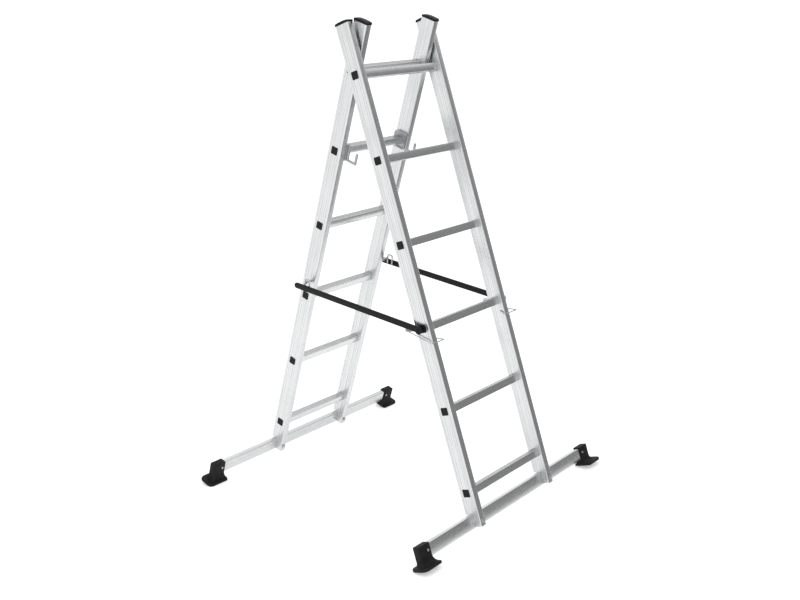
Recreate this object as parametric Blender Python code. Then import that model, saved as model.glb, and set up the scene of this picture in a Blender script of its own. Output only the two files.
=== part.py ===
"""Multi position ladder, standing as a stepladder.

Two aluminium ladder sections cross near their tops and turn on one hinge axis. Metres, +Z up, the front
section leans from -Y. The origin is on the floor, below the hinge axis and midway between the side rails.

Each section is modelled in its own frame: x along the rungs, y square to the section and towards the back,
z up along the rails, with the hinge axis at the frame's origin.
"""

import math

import bmesh
import bpy
from mathutils import Matrix, Vector

# Stance
LEAN = math.radians(18.0)
HINGE_HEIGHT = 1.4803
GAP = 0.0003

# Rails and rungs
RAIL_DEPTH = 0.058
RAIL_WIDTH = 0.025
RAIL_WALL = 0.002
RAIL_LENGTH = 1.680
RAIL_OFFSET = 0.0216
RUNG_COUNT = 6
RUNG_PITCH = 0.280
RUNG_SIZE = 0.026
RUNG_WALL = 0.002
PLUG_HEAD = 0.0015
PLUG_STEM = 0.012
CAP_EDGE = 0.004
CAP_RISE = 0.007
CAP_STEM = 0.018
EDGE_RADIUS = 0.0015

# Stabiliser bars, measured down from a section's top
BAR_CENTRE = 1.661
BAR_HEIGHT = 0.044
BAR_DEPTH = 0.020
BAR_WALL = 0.002
BAR_HALF_LENGTH = 0.490
BAR_FACE = -0.003
BAR_BOLT_RADIUS = 0.003
BAR_BOLT_HEAD = 0.0055
BAR_BOLT_HEAD_RADIUS = 0.0065

# Feet
FOOT_INNER = 0.446
FOOT_OUTER = 0.498
FOOT_WALL = 0.0038
SOLE_INNER = 0.442
SOLE_OUTER = 0.525
SOLE_DEPTH = 0.066
SOLE_HEEL = 0.474
SOLE_THICKNESS = 0.009
SOLE_DIP = 0.003
SOLE_CORNER = 0.020
SOLE_CORNER_INNER = 0.006

# Hinge between the sections
HINGE_RADIUS = 0.004
HINGE_HOLE = 0.0043
HINGE_COLLAR_RADIUS = 0.008
HINGE_HEAD_RADIUS = 0.0050
HINGE_HEAD = 0.003

# Stays, hung at the fourth rung of the front section
STAY_RUNG = 3
STAY_RISE = math.radians(6.3)
STAY_INNER = 0.2265
STAY_THICKNESS = 0.008
STAY_WIDTH = 0.020
STAY_LENGTH = 0.562
STAY_BOLT_RADIUS = 0.004
STAY_BOLT_HEAD_RADIUS = 0.0075
STAY_BUSH_RADIUS = 0.007

# Hook on a stay and the peg that it drops over
HOOK_WIRE = 0.003
HOOK_X = 0.2229
HOOK_CENTRE_Y = 0.231
HOOK_HALF_SPAN = 0.011
HOOK_HEIGHT = 0.021
PEG_POINT = (0.240, 0.7455)
PEG_RADIUS = 0.005
PEG_END = 0.2192

# Wire locks round the front rails, below the fourth rung
LOCK_WIRE = 0.002
LOCK_LEG_X = 0.2225
LOCK_PIVOT = (0.066, 0.834)
LOCK_FRONT = (-0.0318, 0.892)
LOCK_RETURN = (-0.012, 0.877)
LOCK_TIP_INSIDE = 0.161
LOCK_TIP_OUTSIDE = 0.2555
LOCK_PLATE = 0.003
LOCK_PLATE_HEIGHT = 0.016

# Rung hooks on the second rung of the rear section
RUNG_HOOK_THICKNESS = 0.012
RUNG_HOOK_BEVEL = 0.0015

SIDES = (("left", -1.0), ("right", 1.0))


class Section:
    """Sizes and frame of one ladder section."""

    def __init__(self, name, width, top, first_rung, tilt, centre):
        self.name = name
        self.half_width = width / 2.0
        self.top = top
        self.first_rung = first_rung
        self.centre = centre
        self.frame = bpy.data.objects.new(name + "_frame", None)
        self.frame.location = (0.0, 0.0, HINGE_HEIGHT)
        self.frame.rotation_euler = (tilt, 0.0, 0.0)
        bpy.context.scene.collection.objects.link(self.frame)
        self.matrix = Matrix.Translation((0.0, 0.0, HINGE_HEIGHT)) @ Matrix.Rotation(tilt, 4, "X")

    def rung_z(self, index):
        """Height of a rung's centre in the section's frame."""
        return self.top - self.first_rung - index * RUNG_PITCH

    def below_first(self, distance):
        """Height of a point given by its distance below the first rung."""
        return self.rung_z(0) - distance

    def bar_z(self):
        """Height of the stabiliser bar's centre in the section's frame."""
        return self.top - BAR_CENTRE


def clear_scene():
    for item in list(bpy.data.objects):
        bpy.data.objects.remove(item, do_unlink=True)


def make_material(name, colour, roughness, metallic):
    material = bpy.data.materials.new(name)
    material.use_nodes = True
    shader = material.node_tree.nodes["Principled BSDF"]
    shader.inputs["Base Color"].default_value = (*colour, 1.0)
    shader.inputs["Roughness"].default_value = roughness
    shader.inputs["Metallic"].default_value = metallic
    material.diffuse_color = (*colour, 1.0)
    return material


def make_object(name, bm, finish, parent=None):
    """Turns a bmesh into an object of its own material, with outward faces."""
    bmesh.ops.recalc_face_normals(bm, faces=bm.faces)
    mesh = bpy.data.meshes.new(name)
    bm.to_mesh(mesh)
    bm.free()
    item = bpy.data.objects.new(name, mesh)
    item.data.materials.append(make_material(name, *finish))
    item.parent = parent
    bpy.context.scene.collection.objects.link(item)
    return item


def make_helper(name, bm, parent=None):
    """A cutter or an addition: a guide that isn't part of the model."""
    item = make_object(name, bm, STEEL, parent)
    item.hide_render = True
    item.display_type = "WIRE"
    return item


def combine(target, helper, operation):
    modifier = target.modifiers.new(helper.name, "BOOLEAN")
    modifier.operation = operation
    modifier.solver = "EXACT"
    modifier.object = helper


def smooth(item):
    item.data.shade_smooth()
    item.data.set_sharp_from_angle(angle=math.radians(35.0))


def add_prism(bm, outline, axis, low, high):
    """Extrudes a closed outline of two-number points along one axis, from low to high."""
    def place(point, level):
        values = list(point)
        values.insert(axis, level)
        return Vector(values)

    bottom = [bm.verts.new(place(point, low)) for point in outline]
    face = bm.faces.new(bottom)
    extruded = bmesh.ops.extrude_face_region(bm, geom=[face])
    moved = [item for item in extruded["geom"] if isinstance(item, bmesh.types.BMVert)]
    shift = [0.0, 0.0, 0.0]
    shift[axis] = high - low
    bmesh.ops.translate(bm, verts=moved, vec=shift)


def add_box(bm, low, high):
    outline = ((low[0], low[1]), (high[0], low[1]), (high[0], high[1]), (low[0], high[1]))
    add_prism(bm, outline, 2, low[2], high[2])


def rounded_rectangle(half_a, half_b, radius, steps=3):
    """Outline of a rectangle with round corners, centred on zero."""
    points = []
    for corner in range(4):
        start = corner * math.pi / 2.0
        centre_a = (half_a - radius) * (1 if corner in (0, 3) else -1)
        centre_b = (half_b - radius) * (1 if corner in (0, 1) else -1)
        for step in range(steps + 1):
            angle = start + step * math.pi / 2.0 / steps
            points.append((centre_a + radius * math.cos(angle), centre_b + radius * math.sin(angle)))
    return points


def moved_outline(outline, shift_a, shift_b):
    return [(a + shift_a, b + shift_b) for a, b in outline]


def add_turned(bm, profile, origin, axis, segments=20):
    """Turns a closed profile of (distance along, radius) points about an axis through origin."""
    along = Vector(axis).normalized()
    side = along.orthogonal().normalized()
    points = [Vector(origin) + along * distance + side * radius for distance, radius in profile]
    verts = [bm.verts.new(point) for point in points]
    edges = [bm.edges.new(pair) for pair in zip(verts, verts[1:])]
    bmesh.ops.spin(bm, geom=verts + edges, cent=origin, axis=along, angle=math.tau, steps=segments,
                   use_merge=True)
    bmesh.ops.remove_doubles(bm, verts=bm.verts, dist=0.00001)


def add_wire(bm, points, radius, sides=8):
    """A round wire through the given points, with its corners filleted and its ends closed."""
    path = filleted(points, radius * 2.2)
    rings = []
    for index, point in enumerate(path):
        before = path[max(index - 1, 0)]
        after = path[min(index + 1, len(path) - 1)]
        along = (after - before).normalized()
        if rings:
            side = (side - along * side.dot(along)).normalized()
        else:
            side = along.orthogonal().normalized()
        across = along.cross(side)
        ring = []
        for step in range(sides):
            angle = math.tau * step / sides
            offset = side * math.cos(angle) + across * math.sin(angle)
            ring.append(bm.verts.new(point + offset * radius))
        rings.append(ring)
    for first, second in zip(rings, rings[1:]):
        for step in range(sides):
            following = (step + 1) % sides
            bm.faces.new((first[step], first[following], second[following], second[step]))
    bm.faces.new(list(reversed(rings[0])))
    bm.faces.new(rings[-1])


def filleted(points, radius, steps=3):
    """A path whose inner corners are rounded by short curves."""
    points = [Vector(point) for point in points]
    path = [points[0]]
    for before, corner, after in zip(points, points[1:], points[2:]):
        reach = min(radius, (before - corner).length * 0.45, (after - corner).length * 0.45)
        start = corner + (before - corner).normalized() * reach
        end = corner + (after - corner).normalized() * reach
        for step in range(steps + 1):
            share = step / steps
            path.append(start.lerp(corner, share).lerp(corner.lerp(end, share), share))
    path.append(points[-1])
    return path


def rail_outline(section, side):
    """The rail's closed outline in x and y."""
    outline = rounded_rectangle(RAIL_WIDTH / 2.0, RAIL_DEPTH / 2.0, EDGE_RADIUS, 2)
    return moved_outline(outline, side * (section.half_width - RAIL_WIDTH / 2.0), section.centre)


def make_rail(section, side_name, side):
    """A box rail with square rung holes, a hinge hole, bolt holes and a step for the stabiliser bar."""
    name = "{}_rail_{}".format(section.name, side_name)
    rail_x = side * (section.half_width - RAIL_WIDTH / 2.0)
    low = section.top - RAIL_LENGTH
    bm = bmesh.new()
    add_prism(bm, rail_outline(section, side), 2, low, section.top)
    rail = make_object(name, bm, ALUMINIUM, section.frame)

    bm = bmesh.new()
    half_x = RAIL_WIDTH / 2.0 - RAIL_WALL
    half_y = RAIL_DEPTH / 2.0 - RAIL_WALL
    add_box(bm, (rail_x - half_x, section.centre - half_y, low - 0.01),
            (rail_x + half_x, section.centre + half_y, section.top + 0.01))
    combine(rail, make_helper(name + "_core", bm, section.frame), "DIFFERENCE")

    bm = bmesh.new()
    reach = RUNG_SIZE / 2.0 + GAP
    for index in range(RUNG_COUNT):
        centre_z = section.rung_z(index)
        add_box(bm, (rail_x - RAIL_WIDTH, section.centre - reach, centre_z - reach),
                (rail_x + RAIL_WIDTH, section.centre + reach, centre_z + reach))
    combine(rail, make_helper(name + "_rung_holes", bm, section.frame), "DIFFERENCE")

    bm = bmesh.new()
    step_face = section.centre + BAR_FACE - GAP
    step_top = section.bar_z() + BAR_HEIGHT / 2.0 + GAP
    add_box(bm, (rail_x - RAIL_WIDTH, step_face, low - 0.01),
            (rail_x + RAIL_WIDTH, section.centre + RAIL_DEPTH, step_top))
    combine(rail, make_helper(name + "_bar_step", bm, section.frame), "DIFFERENCE")

    bm = bmesh.new()
    hole = ((-0.02, 0.0), (-0.02, BAR_BOLT_RADIUS + GAP), (0.02, BAR_BOLT_RADIUS + GAP), (0.02, 0.0))
    flange_y = section.centre - RAIL_DEPTH / 2.0
    add_turned(bm, hole, (rail_x, flange_y, section.bar_z()), (0.0, 1.0, 0.0), 16)
    combine(rail, make_helper(name + "_bolt_hole", bm, section.frame), "DIFFERENCE")
    make_hinge_hole(section, rail, side)
    return rail


def make_hinge_hole(section, rail, side):
    """The hole for the hinge pin: in the front rail's inner wall, or in the rear rail's outer wall."""
    if section.name == "front":
        wall_x = section.half_width - RAIL_WIDTH + RAIL_WALL / 2.0
    else:
        wall_x = section.half_width - RAIL_WALL / 2.0
    hole = ((-0.004, 0.0), (-0.004, HINGE_HOLE), (0.004, HINGE_HOLE), (0.004, 0.0))
    bm = bmesh.new()
    add_turned(bm, hole, (side * wall_x, 0.0, 0.0), (1.0, 0.0, 0.0))
    combine(rail, make_helper(rail.name + "_hinge_hole", bm, section.frame), "DIFFERENCE")


def make_tube(name, half_length, centre, half_y, half_z, wall, radius, finish, parent):
    """A box tube along x, open at both ends."""
    outer = moved_outline(rounded_rectangle(half_y, half_z, radius, 2), *centre)
    inner = moved_outline(rounded_rectangle(half_y - wall, half_z - wall, radius / 2.0, 1), *centre)
    bm = bmesh.new()
    add_prism(bm, outer, 0, -half_length, half_length)
    tube = make_object(name, bm, finish, parent)
    bm = bmesh.new()
    add_prism(bm, inner, 0, -half_length - 0.01, half_length + 0.01)
    combine(tube, make_helper(name + "_core", bm, parent), "DIFFERENCE")
    return tube


def make_rungs(section):
    for index in range(RUNG_COUNT):
        name = "{}_rung_{}".format(section.name, index + 1)
        centre = (section.centre, section.rung_z(index))
        make_tube(name, section.half_width, centre, RUNG_SIZE / 2.0, RUNG_SIZE / 2.0, RUNG_WALL, EDGE_RADIUS,
                  ALUMINIUM, section.frame)


def make_rung_plugs(section):
    """Square plugs that close the ends of each rung, with a bolt hole where a stay hangs."""
    half = RUNG_SIZE / 2.0
    stem = half - RUNG_WALL - GAP
    for index in range(RUNG_COUNT):
        for side_name, side in SIDES:
            name = "{}_rung_plug_{}_{}".format(section.name, index + 1, side_name)
            face = section.half_width + GAP
            centre = (section.centre, section.rung_z(index))
            bm = bmesh.new()
            head = moved_outline(rounded_rectangle(half, half, 0.002, 2), *centre)
            add_prism(bm, head, 0, side * face, side * (face + PLUG_HEAD))
            plug = make_object(name, bm, PLASTIC, section.frame)
            bm = bmesh.new()
            square = moved_outline(rounded_rectangle(stem, stem, 0.001, 1), *centre)
            add_prism(bm, square, 0, side * (face - PLUG_STEM), side * (face + PLUG_HEAD / 2.0))
            combine(plug, make_helper(name + "_stem", bm, section.frame), "UNION")
            if index == STAY_RUNG:
                bm = bmesh.new()
                reach = STAY_BOLT_RADIUS + GAP
                hole = ((-0.03, 0.0), (-0.03, reach), (0.03, reach), (0.03, 0.0))
                add_turned(bm, hole, (side * face, *centre), (1.0, 0.0, 0.0))
                combine(plug, make_helper(name + "_hole", bm, section.frame), "DIFFERENCE")


def make_top_caps(section):
    """Arched caps that close the tops of the rails."""
    for side_name, side in SIDES:
        name = "{}_top_cap_{}".format(section.name, side_name)
        centre_x = side * (section.half_width - RAIL_WIDTH / 2.0)
        half_x = RAIL_WIDTH / 2.0 + 0.001
        half_y = RAIL_DEPTH / 2.0 + 0.001
        base = section.top + GAP
        arch = [(section.centre - half_y, base), (section.centre + half_y, base)]
        for step in range(13):
            share = 1.0 - 2.0 * step / 12.0
            rise = CAP_EDGE + CAP_RISE * math.sqrt(1.0 - (share * 0.96) ** 2)
            arch.append((section.centre + half_y * share, base + rise))
        bm = bmesh.new()
        add_prism(bm, arch, 0, centre_x - half_x, centre_x + half_x)
        cap = make_object(name, bm, PLASTIC, section.frame)
        bevel = cap.modifiers.new("edge", "BEVEL")
        bevel.width = 0.0015
        bevel.segments = 2
        bevel.limit_method = "ANGLE"
        bevel.angle_limit = math.radians(50.0)
        bm = bmesh.new()
        stem_x = RAIL_WIDTH / 2.0 - RAIL_WALL - GAP
        stem_y = RAIL_DEPTH / 2.0 - RAIL_WALL - GAP
        add_box(bm, (centre_x - stem_x, section.centre - stem_y, base - CAP_STEM),
                (centre_x + stem_x, section.centre + stem_y, base + CAP_EDGE / 2.0))
        combine(cap, make_helper(name + "_stem", bm, section.frame), "UNION")
        smooth(cap)


def make_bar(section):
    """The stabiliser bar: a box tube behind the stepped rail ends, with its two bolt holes."""
    name = section.name + "_stabiliser_bar"
    centre = (section.centre + BAR_FACE + BAR_DEPTH / 2.0, section.bar_z())
    bar = make_tube(name, BAR_HALF_LENGTH, centre, BAR_DEPTH / 2.0, BAR_HEIGHT / 2.0, BAR_WALL, EDGE_RADIUS,
                    ALUMINIUM, section.frame)
    for side_name, side in SIDES:
        bolt_x = side * (section.half_width - RAIL_WIDTH / 2.0)
        reach = BAR_BOLT_RADIUS + GAP
        hole = ((-0.02, 0.0), (-0.02, reach), (0.02, reach), (0.02, 0.0))
        bm = bmesh.new()
        add_turned(bm, hole, (bolt_x, *centre), (0.0, 1.0, 0.0), 16)
        combine(bar, make_helper("{}_hole_{}".format(name, side_name), bm, section.frame), "DIFFERENCE")


def make_bar_bolts(section):
    """Bolts through the rail's front wall and the bar, each with its nut."""
    for side_name, side in SIDES:
        name = "{}_bar_bolt_{}".format(section.name, side_name)
        bolt_x = side * (section.half_width - RAIL_WIDTH / 2.0)
        front = -RAIL_DEPTH / 2.0 - GAP
        back = BAR_FACE + BAR_DEPTH + GAP
        profile = (
            (front - BAR_BOLT_HEAD, 0.0),
            (front - BAR_BOLT_HEAD, BAR_BOLT_HEAD_RADIUS),
            (front, BAR_BOLT_HEAD_RADIUS),
            (front, BAR_BOLT_RADIUS),
            (back, BAR_BOLT_RADIUS),
            (back, BAR_BOLT_HEAD_RADIUS),
            (back + BAR_BOLT_HEAD, BAR_BOLT_HEAD_RADIUS),
            (back + BAR_BOLT_HEAD, BAR_BOLT_RADIUS),
            (back + BAR_BOLT_HEAD + 0.003, BAR_BOLT_RADIUS),
            (back + BAR_BOLT_HEAD + 0.003, 0.0),
        )
        bm = bmesh.new()
        add_turned(bm, profile, (bolt_x, section.centre, section.bar_z()), (0.0, 1.0, 0.0), 12)
        smooth(make_object(name, bm, STEEL, section.frame))


def sole_outline(centre_y, side):
    """The sole's outline in x and y, with large round corners at its outer end."""
    half_x = (SOLE_OUTER - SOLE_INNER) / 2.0
    centre_x = side * (SOLE_INNER + SOLE_OUTER) / 2.0
    outer = rounded_rectangle(half_x, SOLE_DEPTH / 2.0, SOLE_CORNER, 6)
    inner = rounded_rectangle(half_x, SOLE_DEPTH / 2.0, SOLE_CORNER_INNER, 2)
    outline = [point for point in outer if point[0] > 0.0] + [point for point in inner if point[0] < 0.0]
    outline.sort(key=lambda point: math.atan2(point[1], point[0]))
    return [(centre_x + side * x, centre_y + y) for x, y in outline]


def add_hull(bm, points):
    verts = [bm.verts.new(point) for point in points]
    result = bmesh.ops.convex_hull(bm, input=verts)
    unused = [item for item in result["geom_unused"] if isinstance(item, bmesh.types.BMVert)]
    interior = [item for item in result["geom_interior"] if isinstance(item, bmesh.types.BMVert)]
    bmesh.ops.delete(bm, geom=list(set(unused + interior)), context="VERTS")


def make_feet(section):
    """Feet: a sleeve over the bar's end, a neck, and a sole square to the rails that rests on its heel."""
    bar_y = section.centre + BAR_FACE + BAR_DEPTH / 2.0
    half_y = BAR_DEPTH / 2.0 + FOOT_WALL
    half_z = BAR_HEIGHT / 2.0 + FOOT_WALL
    outward = math.copysign(1.0, section.centre)
    heel = section.matrix.inverted() @ Vector((0.0, outward * SOLE_HEEL, 0.0))
    sole_y = heel.y + outward * SOLE_DEPTH / 2.0
    sole_low = heel.z - SOLE_DIP
    for side_name, side in SIDES:
        name = "{}_foot_{}".format(section.name, side_name)
        bm = bmesh.new()
        sleeve = moved_outline(rounded_rectangle(half_y, half_z, 0.003, 2), bar_y, section.bar_z())
        add_prism(bm, sleeve, 0, side * FOOT_INNER, side * FOOT_OUTER)
        foot = make_object(name, bm, RUBBER, section.frame)

        bm = bmesh.new()
        add_prism(bm, sole_outline(sole_y, side), 2, sole_low, sole_low + SOLE_THICKNESS)
        combine(foot, make_helper(name + "_sole", bm, section.frame), "UNION")

        bm = bmesh.new()
        neck = []
        for x in (FOOT_INNER + 0.004, FOOT_OUTER - 0.002):
            for y in (-half_y + 0.002, half_y - 0.002):
                neck.append((side * x, bar_y + y, section.bar_z() - half_z + 0.014))
                neck.append((side * x, sole_y + 1.5 * y, sole_low + SOLE_THICKNESS / 2.0))
        add_hull(bm, neck)
        combine(foot, make_helper(name + "_neck", bm, section.frame), "UNION")

        bm = bmesh.new()
        reach = (BAR_DEPTH / 2.0 + GAP, BAR_HEIGHT / 2.0 + GAP)
        ends = sorted((side * (FOOT_INNER - 0.05), side * (BAR_HALF_LENGTH + GAP)))
        add_box(bm, (ends[0], bar_y - reach[0], section.bar_z() - reach[1]),
                (ends[1], bar_y + reach[0], section.bar_z() + reach[1]))
        combine(foot, make_helper(name + "_socket", bm, section.frame), "DIFFERENCE")

        bm = bmesh.new()
        add_box(bm, (-1.0, -1.0, -0.1), (1.0, 1.0, 0.0))
        combine(foot, make_helper(name + "_floor", bm), "DIFFERENCE")


def make_hinge_pins(front, rear):
    """Pins between the rails: headed in both hollow rails, with a collar that keeps the rails apart."""
    for side_name, side in SIDES:
        rear_face = rear.half_width
        front_face = front.half_width - RAIL_WIDTH
        inner = rear_face - RAIL_WALL - GAP
        outer = front_face + RAIL_WALL + GAP
        profile = (
            (inner - HINGE_HEAD, 0.0),
            (inner - HINGE_HEAD, HINGE_HEAD_RADIUS),
            (inner, HINGE_HEAD_RADIUS),
            (inner, HINGE_RADIUS),
            (rear_face + GAP, HINGE_RADIUS),
            (rear_face + GAP, HINGE_COLLAR_RADIUS),
            (front_face - GAP, HINGE_COLLAR_RADIUS),
            (front_face - GAP, HINGE_RADIUS),
            (outer, HINGE_RADIUS),
            (outer, HINGE_HEAD_RADIUS),
            (outer + HINGE_HEAD, HINGE_HEAD_RADIUS),
            (outer + HINGE_HEAD, 0.0),
        )
        bm = bmesh.new()
        add_turned(bm, profile, (0.0, 0.0, 0.0), (side, 0.0, 0.0))
        smooth(make_object("hinge_pin_" + side_name, bm, STEEL, front.frame))


def stay_frame(front, side_name):
    """An empty on a stay's pivot, with y along the stay."""
    pivot = front.matrix @ Vector((0.0, front.centre, front.rung_z(STAY_RUNG)))
    frame = bpy.data.objects.new("stay_frame_" + side_name, None)
    frame.location = pivot
    frame.rotation_euler = (STAY_RISE, 0.0, 0.0)
    bpy.context.scene.collection.objects.link(frame)
    matrix = Matrix.Translation(pivot) @ Matrix.Rotation(STAY_RISE, 4, "X")
    return frame, matrix


def stay_outline():
    """A bar with two round ends, in y and z."""
    half = STAY_WIDTH / 2.0
    points = []
    for step in range(9):
        angle = -math.pi / 2.0 + math.pi * step / 8.0
        points.append((STAY_LENGTH + half * math.cos(angle), half * math.sin(angle)))
    for step in range(9):
        angle = math.pi / 2.0 + math.pi * step / 8.0
        points.append((half * math.cos(angle), half * math.sin(angle)))
    return points


def make_stays(front):
    for side_name, side in SIDES:
        frame, matrix = stay_frame(front, side_name)
        name = "stay_" + side_name
        inner = side * STAY_INNER
        outer = side * (STAY_INNER + STAY_THICKNESS)
        bm = bmesh.new()
        add_prism(bm, stay_outline(), 0, inner, outer)
        stay = make_object(name, bm, BLACK_STEEL, frame)
        bevel = stay.modifiers.new("edge", "BEVEL")
        bevel.width = 0.0012
        bevel.segments = 2
        bevel.limit_method = "ANGLE"
        bevel.angle_limit = math.radians(50.0)
        bm = bmesh.new()
        reach = STAY_BOLT_RADIUS + GAP
        hole = ((-0.01, 0.0), (-0.01, reach), (0.02, reach), (0.02, 0.0))
        add_turned(bm, hole, (inner, 0.0, 0.0), (side, 0.0, 0.0))
        combine(stay, make_helper(name + "_hole", bm, frame), "DIFFERENCE")
        make_stay_hook(side_name, side, frame, matrix)
    make_stay_bolts(front)


def make_stay_hook(side_name, side, frame, matrix):
    """A wire arch on the inner face of a stay."""
    along = (HOOK_CENTRE_Y - matrix.translation.y) / math.cos(STAY_RISE)
    hook_x = side * HOOK_X
    top = STAY_WIDTH / 2.0 + HOOK_HEIGHT
    foot = -STAY_WIDTH / 2.0 + 0.004
    points = (
        (hook_x, along - HOOK_HALF_SPAN, foot),
        (hook_x, along - HOOK_HALF_SPAN, top - 0.008),
        (hook_x, along - HOOK_HALF_SPAN + 0.006, top),
        (hook_x, along + HOOK_HALF_SPAN - 0.006, top),
        (hook_x, along + HOOK_HALF_SPAN, top - 0.008),
        (hook_x, along + HOOK_HALF_SPAN, foot),
    )
    bm = bmesh.new()
    add_wire(bm, points, HOOK_WIRE, 10)
    smooth(make_object("stay_hook_" + side_name, bm, STEEL, frame))


def make_stay_bolts(front):
    """Bolts that carry the stays, through the plugs of the fourth rung."""
    for side_name, side in SIDES:
        face = front.half_width + PLUG_HEAD + 2.0 * GAP
        stay_outer = STAY_INNER + STAY_THICKNESS + GAP
        profile = (
            (front.half_width - PLUG_STEM - 0.004, 0.0),
            (front.half_width - PLUG_STEM - 0.004, STAY_BOLT_RADIUS),
            (face, STAY_BOLT_RADIUS),
            (face, STAY_BUSH_RADIUS),
            (STAY_INNER - GAP, STAY_BUSH_RADIUS),
            (STAY_INNER - GAP, STAY_BOLT_RADIUS),
            (stay_outer, STAY_BOLT_RADIUS),
            (stay_outer, STAY_BOLT_HEAD_RADIUS),
            (stay_outer + 0.0015, STAY_BOLT_HEAD_RADIUS),
            (stay_outer + 0.003, STAY_BOLT_HEAD_RADIUS * 0.6),
            (stay_outer + 0.003, 0.0),
        )
        bm = bmesh.new()
        origin = (0.0, front.centre, front.rung_z(STAY_RUNG))
        add_turned(bm, profile, origin, (side, 0.0, 0.0))
        smooth(make_object("stay_bolt_" + side_name, bm, BLACK_STEEL, front.frame))


def make_stay_pegs(rear):
    """Pegs on the outer walls of the rear rails, inside the arches of the stay hooks."""
    place = rear.matrix.inverted() @ Vector((0.0, *PEG_POINT))
    for side_name, side in SIDES:
        face = rear.half_width + GAP
        profile = (
            (face, 0.0),
            (face, PEG_RADIUS + 0.003),
            (face + 0.002, PEG_RADIUS + 0.003),
            (face + 0.002, PEG_RADIUS),
            (PEG_END - 0.001, PEG_RADIUS),
            (PEG_END, PEG_RADIUS - 0.001),
            (PEG_END, 0.0),
        )
        bm = bmesh.new()
        add_turned(bm, profile, (0.0, place.y, place.z), (side, 0.0, 0.0), 16)
        smooth(make_object("stay_peg_" + side_name, bm, STEEL, rear.frame))


def lock_point(front, x, place):
    """A point of a wire lock from its x and its (depth, distance below the first rung)."""
    return (x, front.centre + place[0], front.below_first(place[1]))


def make_wire_locks(front):
    """Wire loops that hang behind each front rail and lie across its front."""
    rail_inner = front.half_width - RAIL_WIDTH - LOCK_WIRE - 0.0005
    for side_name, side in SIDES:
        bm = bmesh.new()
        points = [
            lock_point(front, side * (front.half_width + GAP), LOCK_PIVOT),
            lock_point(front, side * LOCK_LEG_X, LOCK_PIVOT),
        ]
        if side < 0.0:
            points += [
                lock_point(front, side * LOCK_LEG_X, LOCK_FRONT),
                lock_point(front, side * LOCK_TIP_INSIDE, LOCK_FRONT),
                lock_point(front, side * rail_inner, LOCK_RETURN),
            ]
        else:
            points += [
                lock_point(front, side * LOCK_LEG_X, LOCK_RETURN),
                lock_point(front, side * LOCK_TIP_OUTSIDE, LOCK_FRONT),
                lock_point(front, side * (rail_inner - 0.004), LOCK_FRONT),
                lock_point(front, side * rail_inner, LOCK_RETURN),
            ]
        add_wire(bm, points, LOCK_WIRE)
        smooth(make_object("wire_lock_" + side_name, bm, STEEL, front.frame))
        make_lock_plate(front, side_name, side)


def make_lock_plate(front, side_name, side):
    """The plate on the outer wall of a front rail that a wire lock turns in."""
    low_x = front.half_width + GAP
    pivot_y = front.centre + LOCK_PIVOT[0]
    pivot_z = front.below_first(LOCK_PIVOT[1])
    half = LOCK_PLATE_HEIGHT / 2.0
    outline = [(front.centre + 0.017, pivot_z - half), (pivot_y, pivot_z - half)]
    for step in range(1, 8):
        angle = -math.pi / 2.0 + math.pi * step / 8.0
        outline.append((pivot_y + half * math.cos(angle), pivot_z + half * math.sin(angle)))
    outline += [(pivot_y, pivot_z + half), (front.centre + 0.017, pivot_z + half)]
    bm = bmesh.new()
    add_prism(bm, outline, 0, side * low_x, side * (low_x + LOCK_PLATE))
    plate = make_object("wire_lock_plate_" + side_name, bm, STEEL, front.frame)
    bm = bmesh.new()
    reach = LOCK_WIRE + GAP
    hole = ((-0.01, 0.0), (-0.01, reach), (0.01, reach), (0.01, 0.0))
    add_turned(bm, hole, (side * low_x, pivot_y, pivot_z), (1.0, 0.0, 0.0), 12)
    combine(plate, make_helper(plate.name + "_hole", bm, front.frame), "DIFFERENCE")


def make_rung_hooks(rear):
    """Cast brackets round the second rung, each with a hook that opens upwards in front of the rail."""
    half = RUNG_SIZE / 2.0 + GAP
    outline = (
        (-0.024, 0.030), (0.033, 0.030), (0.037, 0.024), (0.037, -0.015), (0.041, -0.018), (0.064, -0.018),
        (0.068, -0.014), (0.068, 0.009), (0.073, 0.014), (0.078, 0.009), (0.078, -0.022), (0.073, -0.027),
        (0.020, -0.030), (-0.008, -0.030), (-0.024, -0.017),
    )
    for side_name, side in SIDES:
        outer = side * (rear.half_width - RAIL_WIDTH - GAP)
        inner = outer - side * RUNG_HOOK_THICKNESS
        placed = [(rear.centre - depth, rear.rung_z(1) + rise) for depth, rise in outline]
        bm = bmesh.new()
        add_prism(bm, placed, 0, inner, outer)
        hook = make_object("rung_hook_" + side_name, bm, CAST, rear.frame)
        bevel = hook.modifiers.new("edge", "BEVEL")
        bevel.width = RUNG_HOOK_BEVEL
        bevel.segments = 2
        bevel.limit_method = "ANGLE"
        bevel.angle_limit = math.radians(60.0)
        bm = bmesh.new()
        reach_x = sorted((inner - side * 0.02, outer + side * 0.02))
        add_box(bm, (reach_x[0], rear.centre - half, rear.rung_z(1) - half),
                (reach_x[1], rear.centre + half, rear.rung_z(1) + half))
        combine(hook, make_helper(hook.name + "_rung_hole", bm, rear.frame), "DIFFERENCE")


def make_section(section):
    for side_name, side in SIDES:
        make_rail(section, side_name, side)
    make_rungs(section)
    make_top_caps(section)
    make_bar(section)
    make_bar_bolts(section)
    make_feet(section)


# Finishes: colour, roughness, metallic
ALUMINIUM = ((0.80, 0.81, 0.82), 0.36, 1.0)
STEEL = ((0.55, 0.56, 0.57), 0.35, 1.0)
CAST = ((0.42, 0.43, 0.44), 0.50, 0.9)
BLACK_STEEL = ((0.020, 0.020, 0.021), 0.45, 0.2)
PLASTIC = ((0.018, 0.018, 0.019), 0.50, 0.0)
RUBBER = ((0.025, 0.025, 0.026), 0.70, 0.0)


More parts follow.
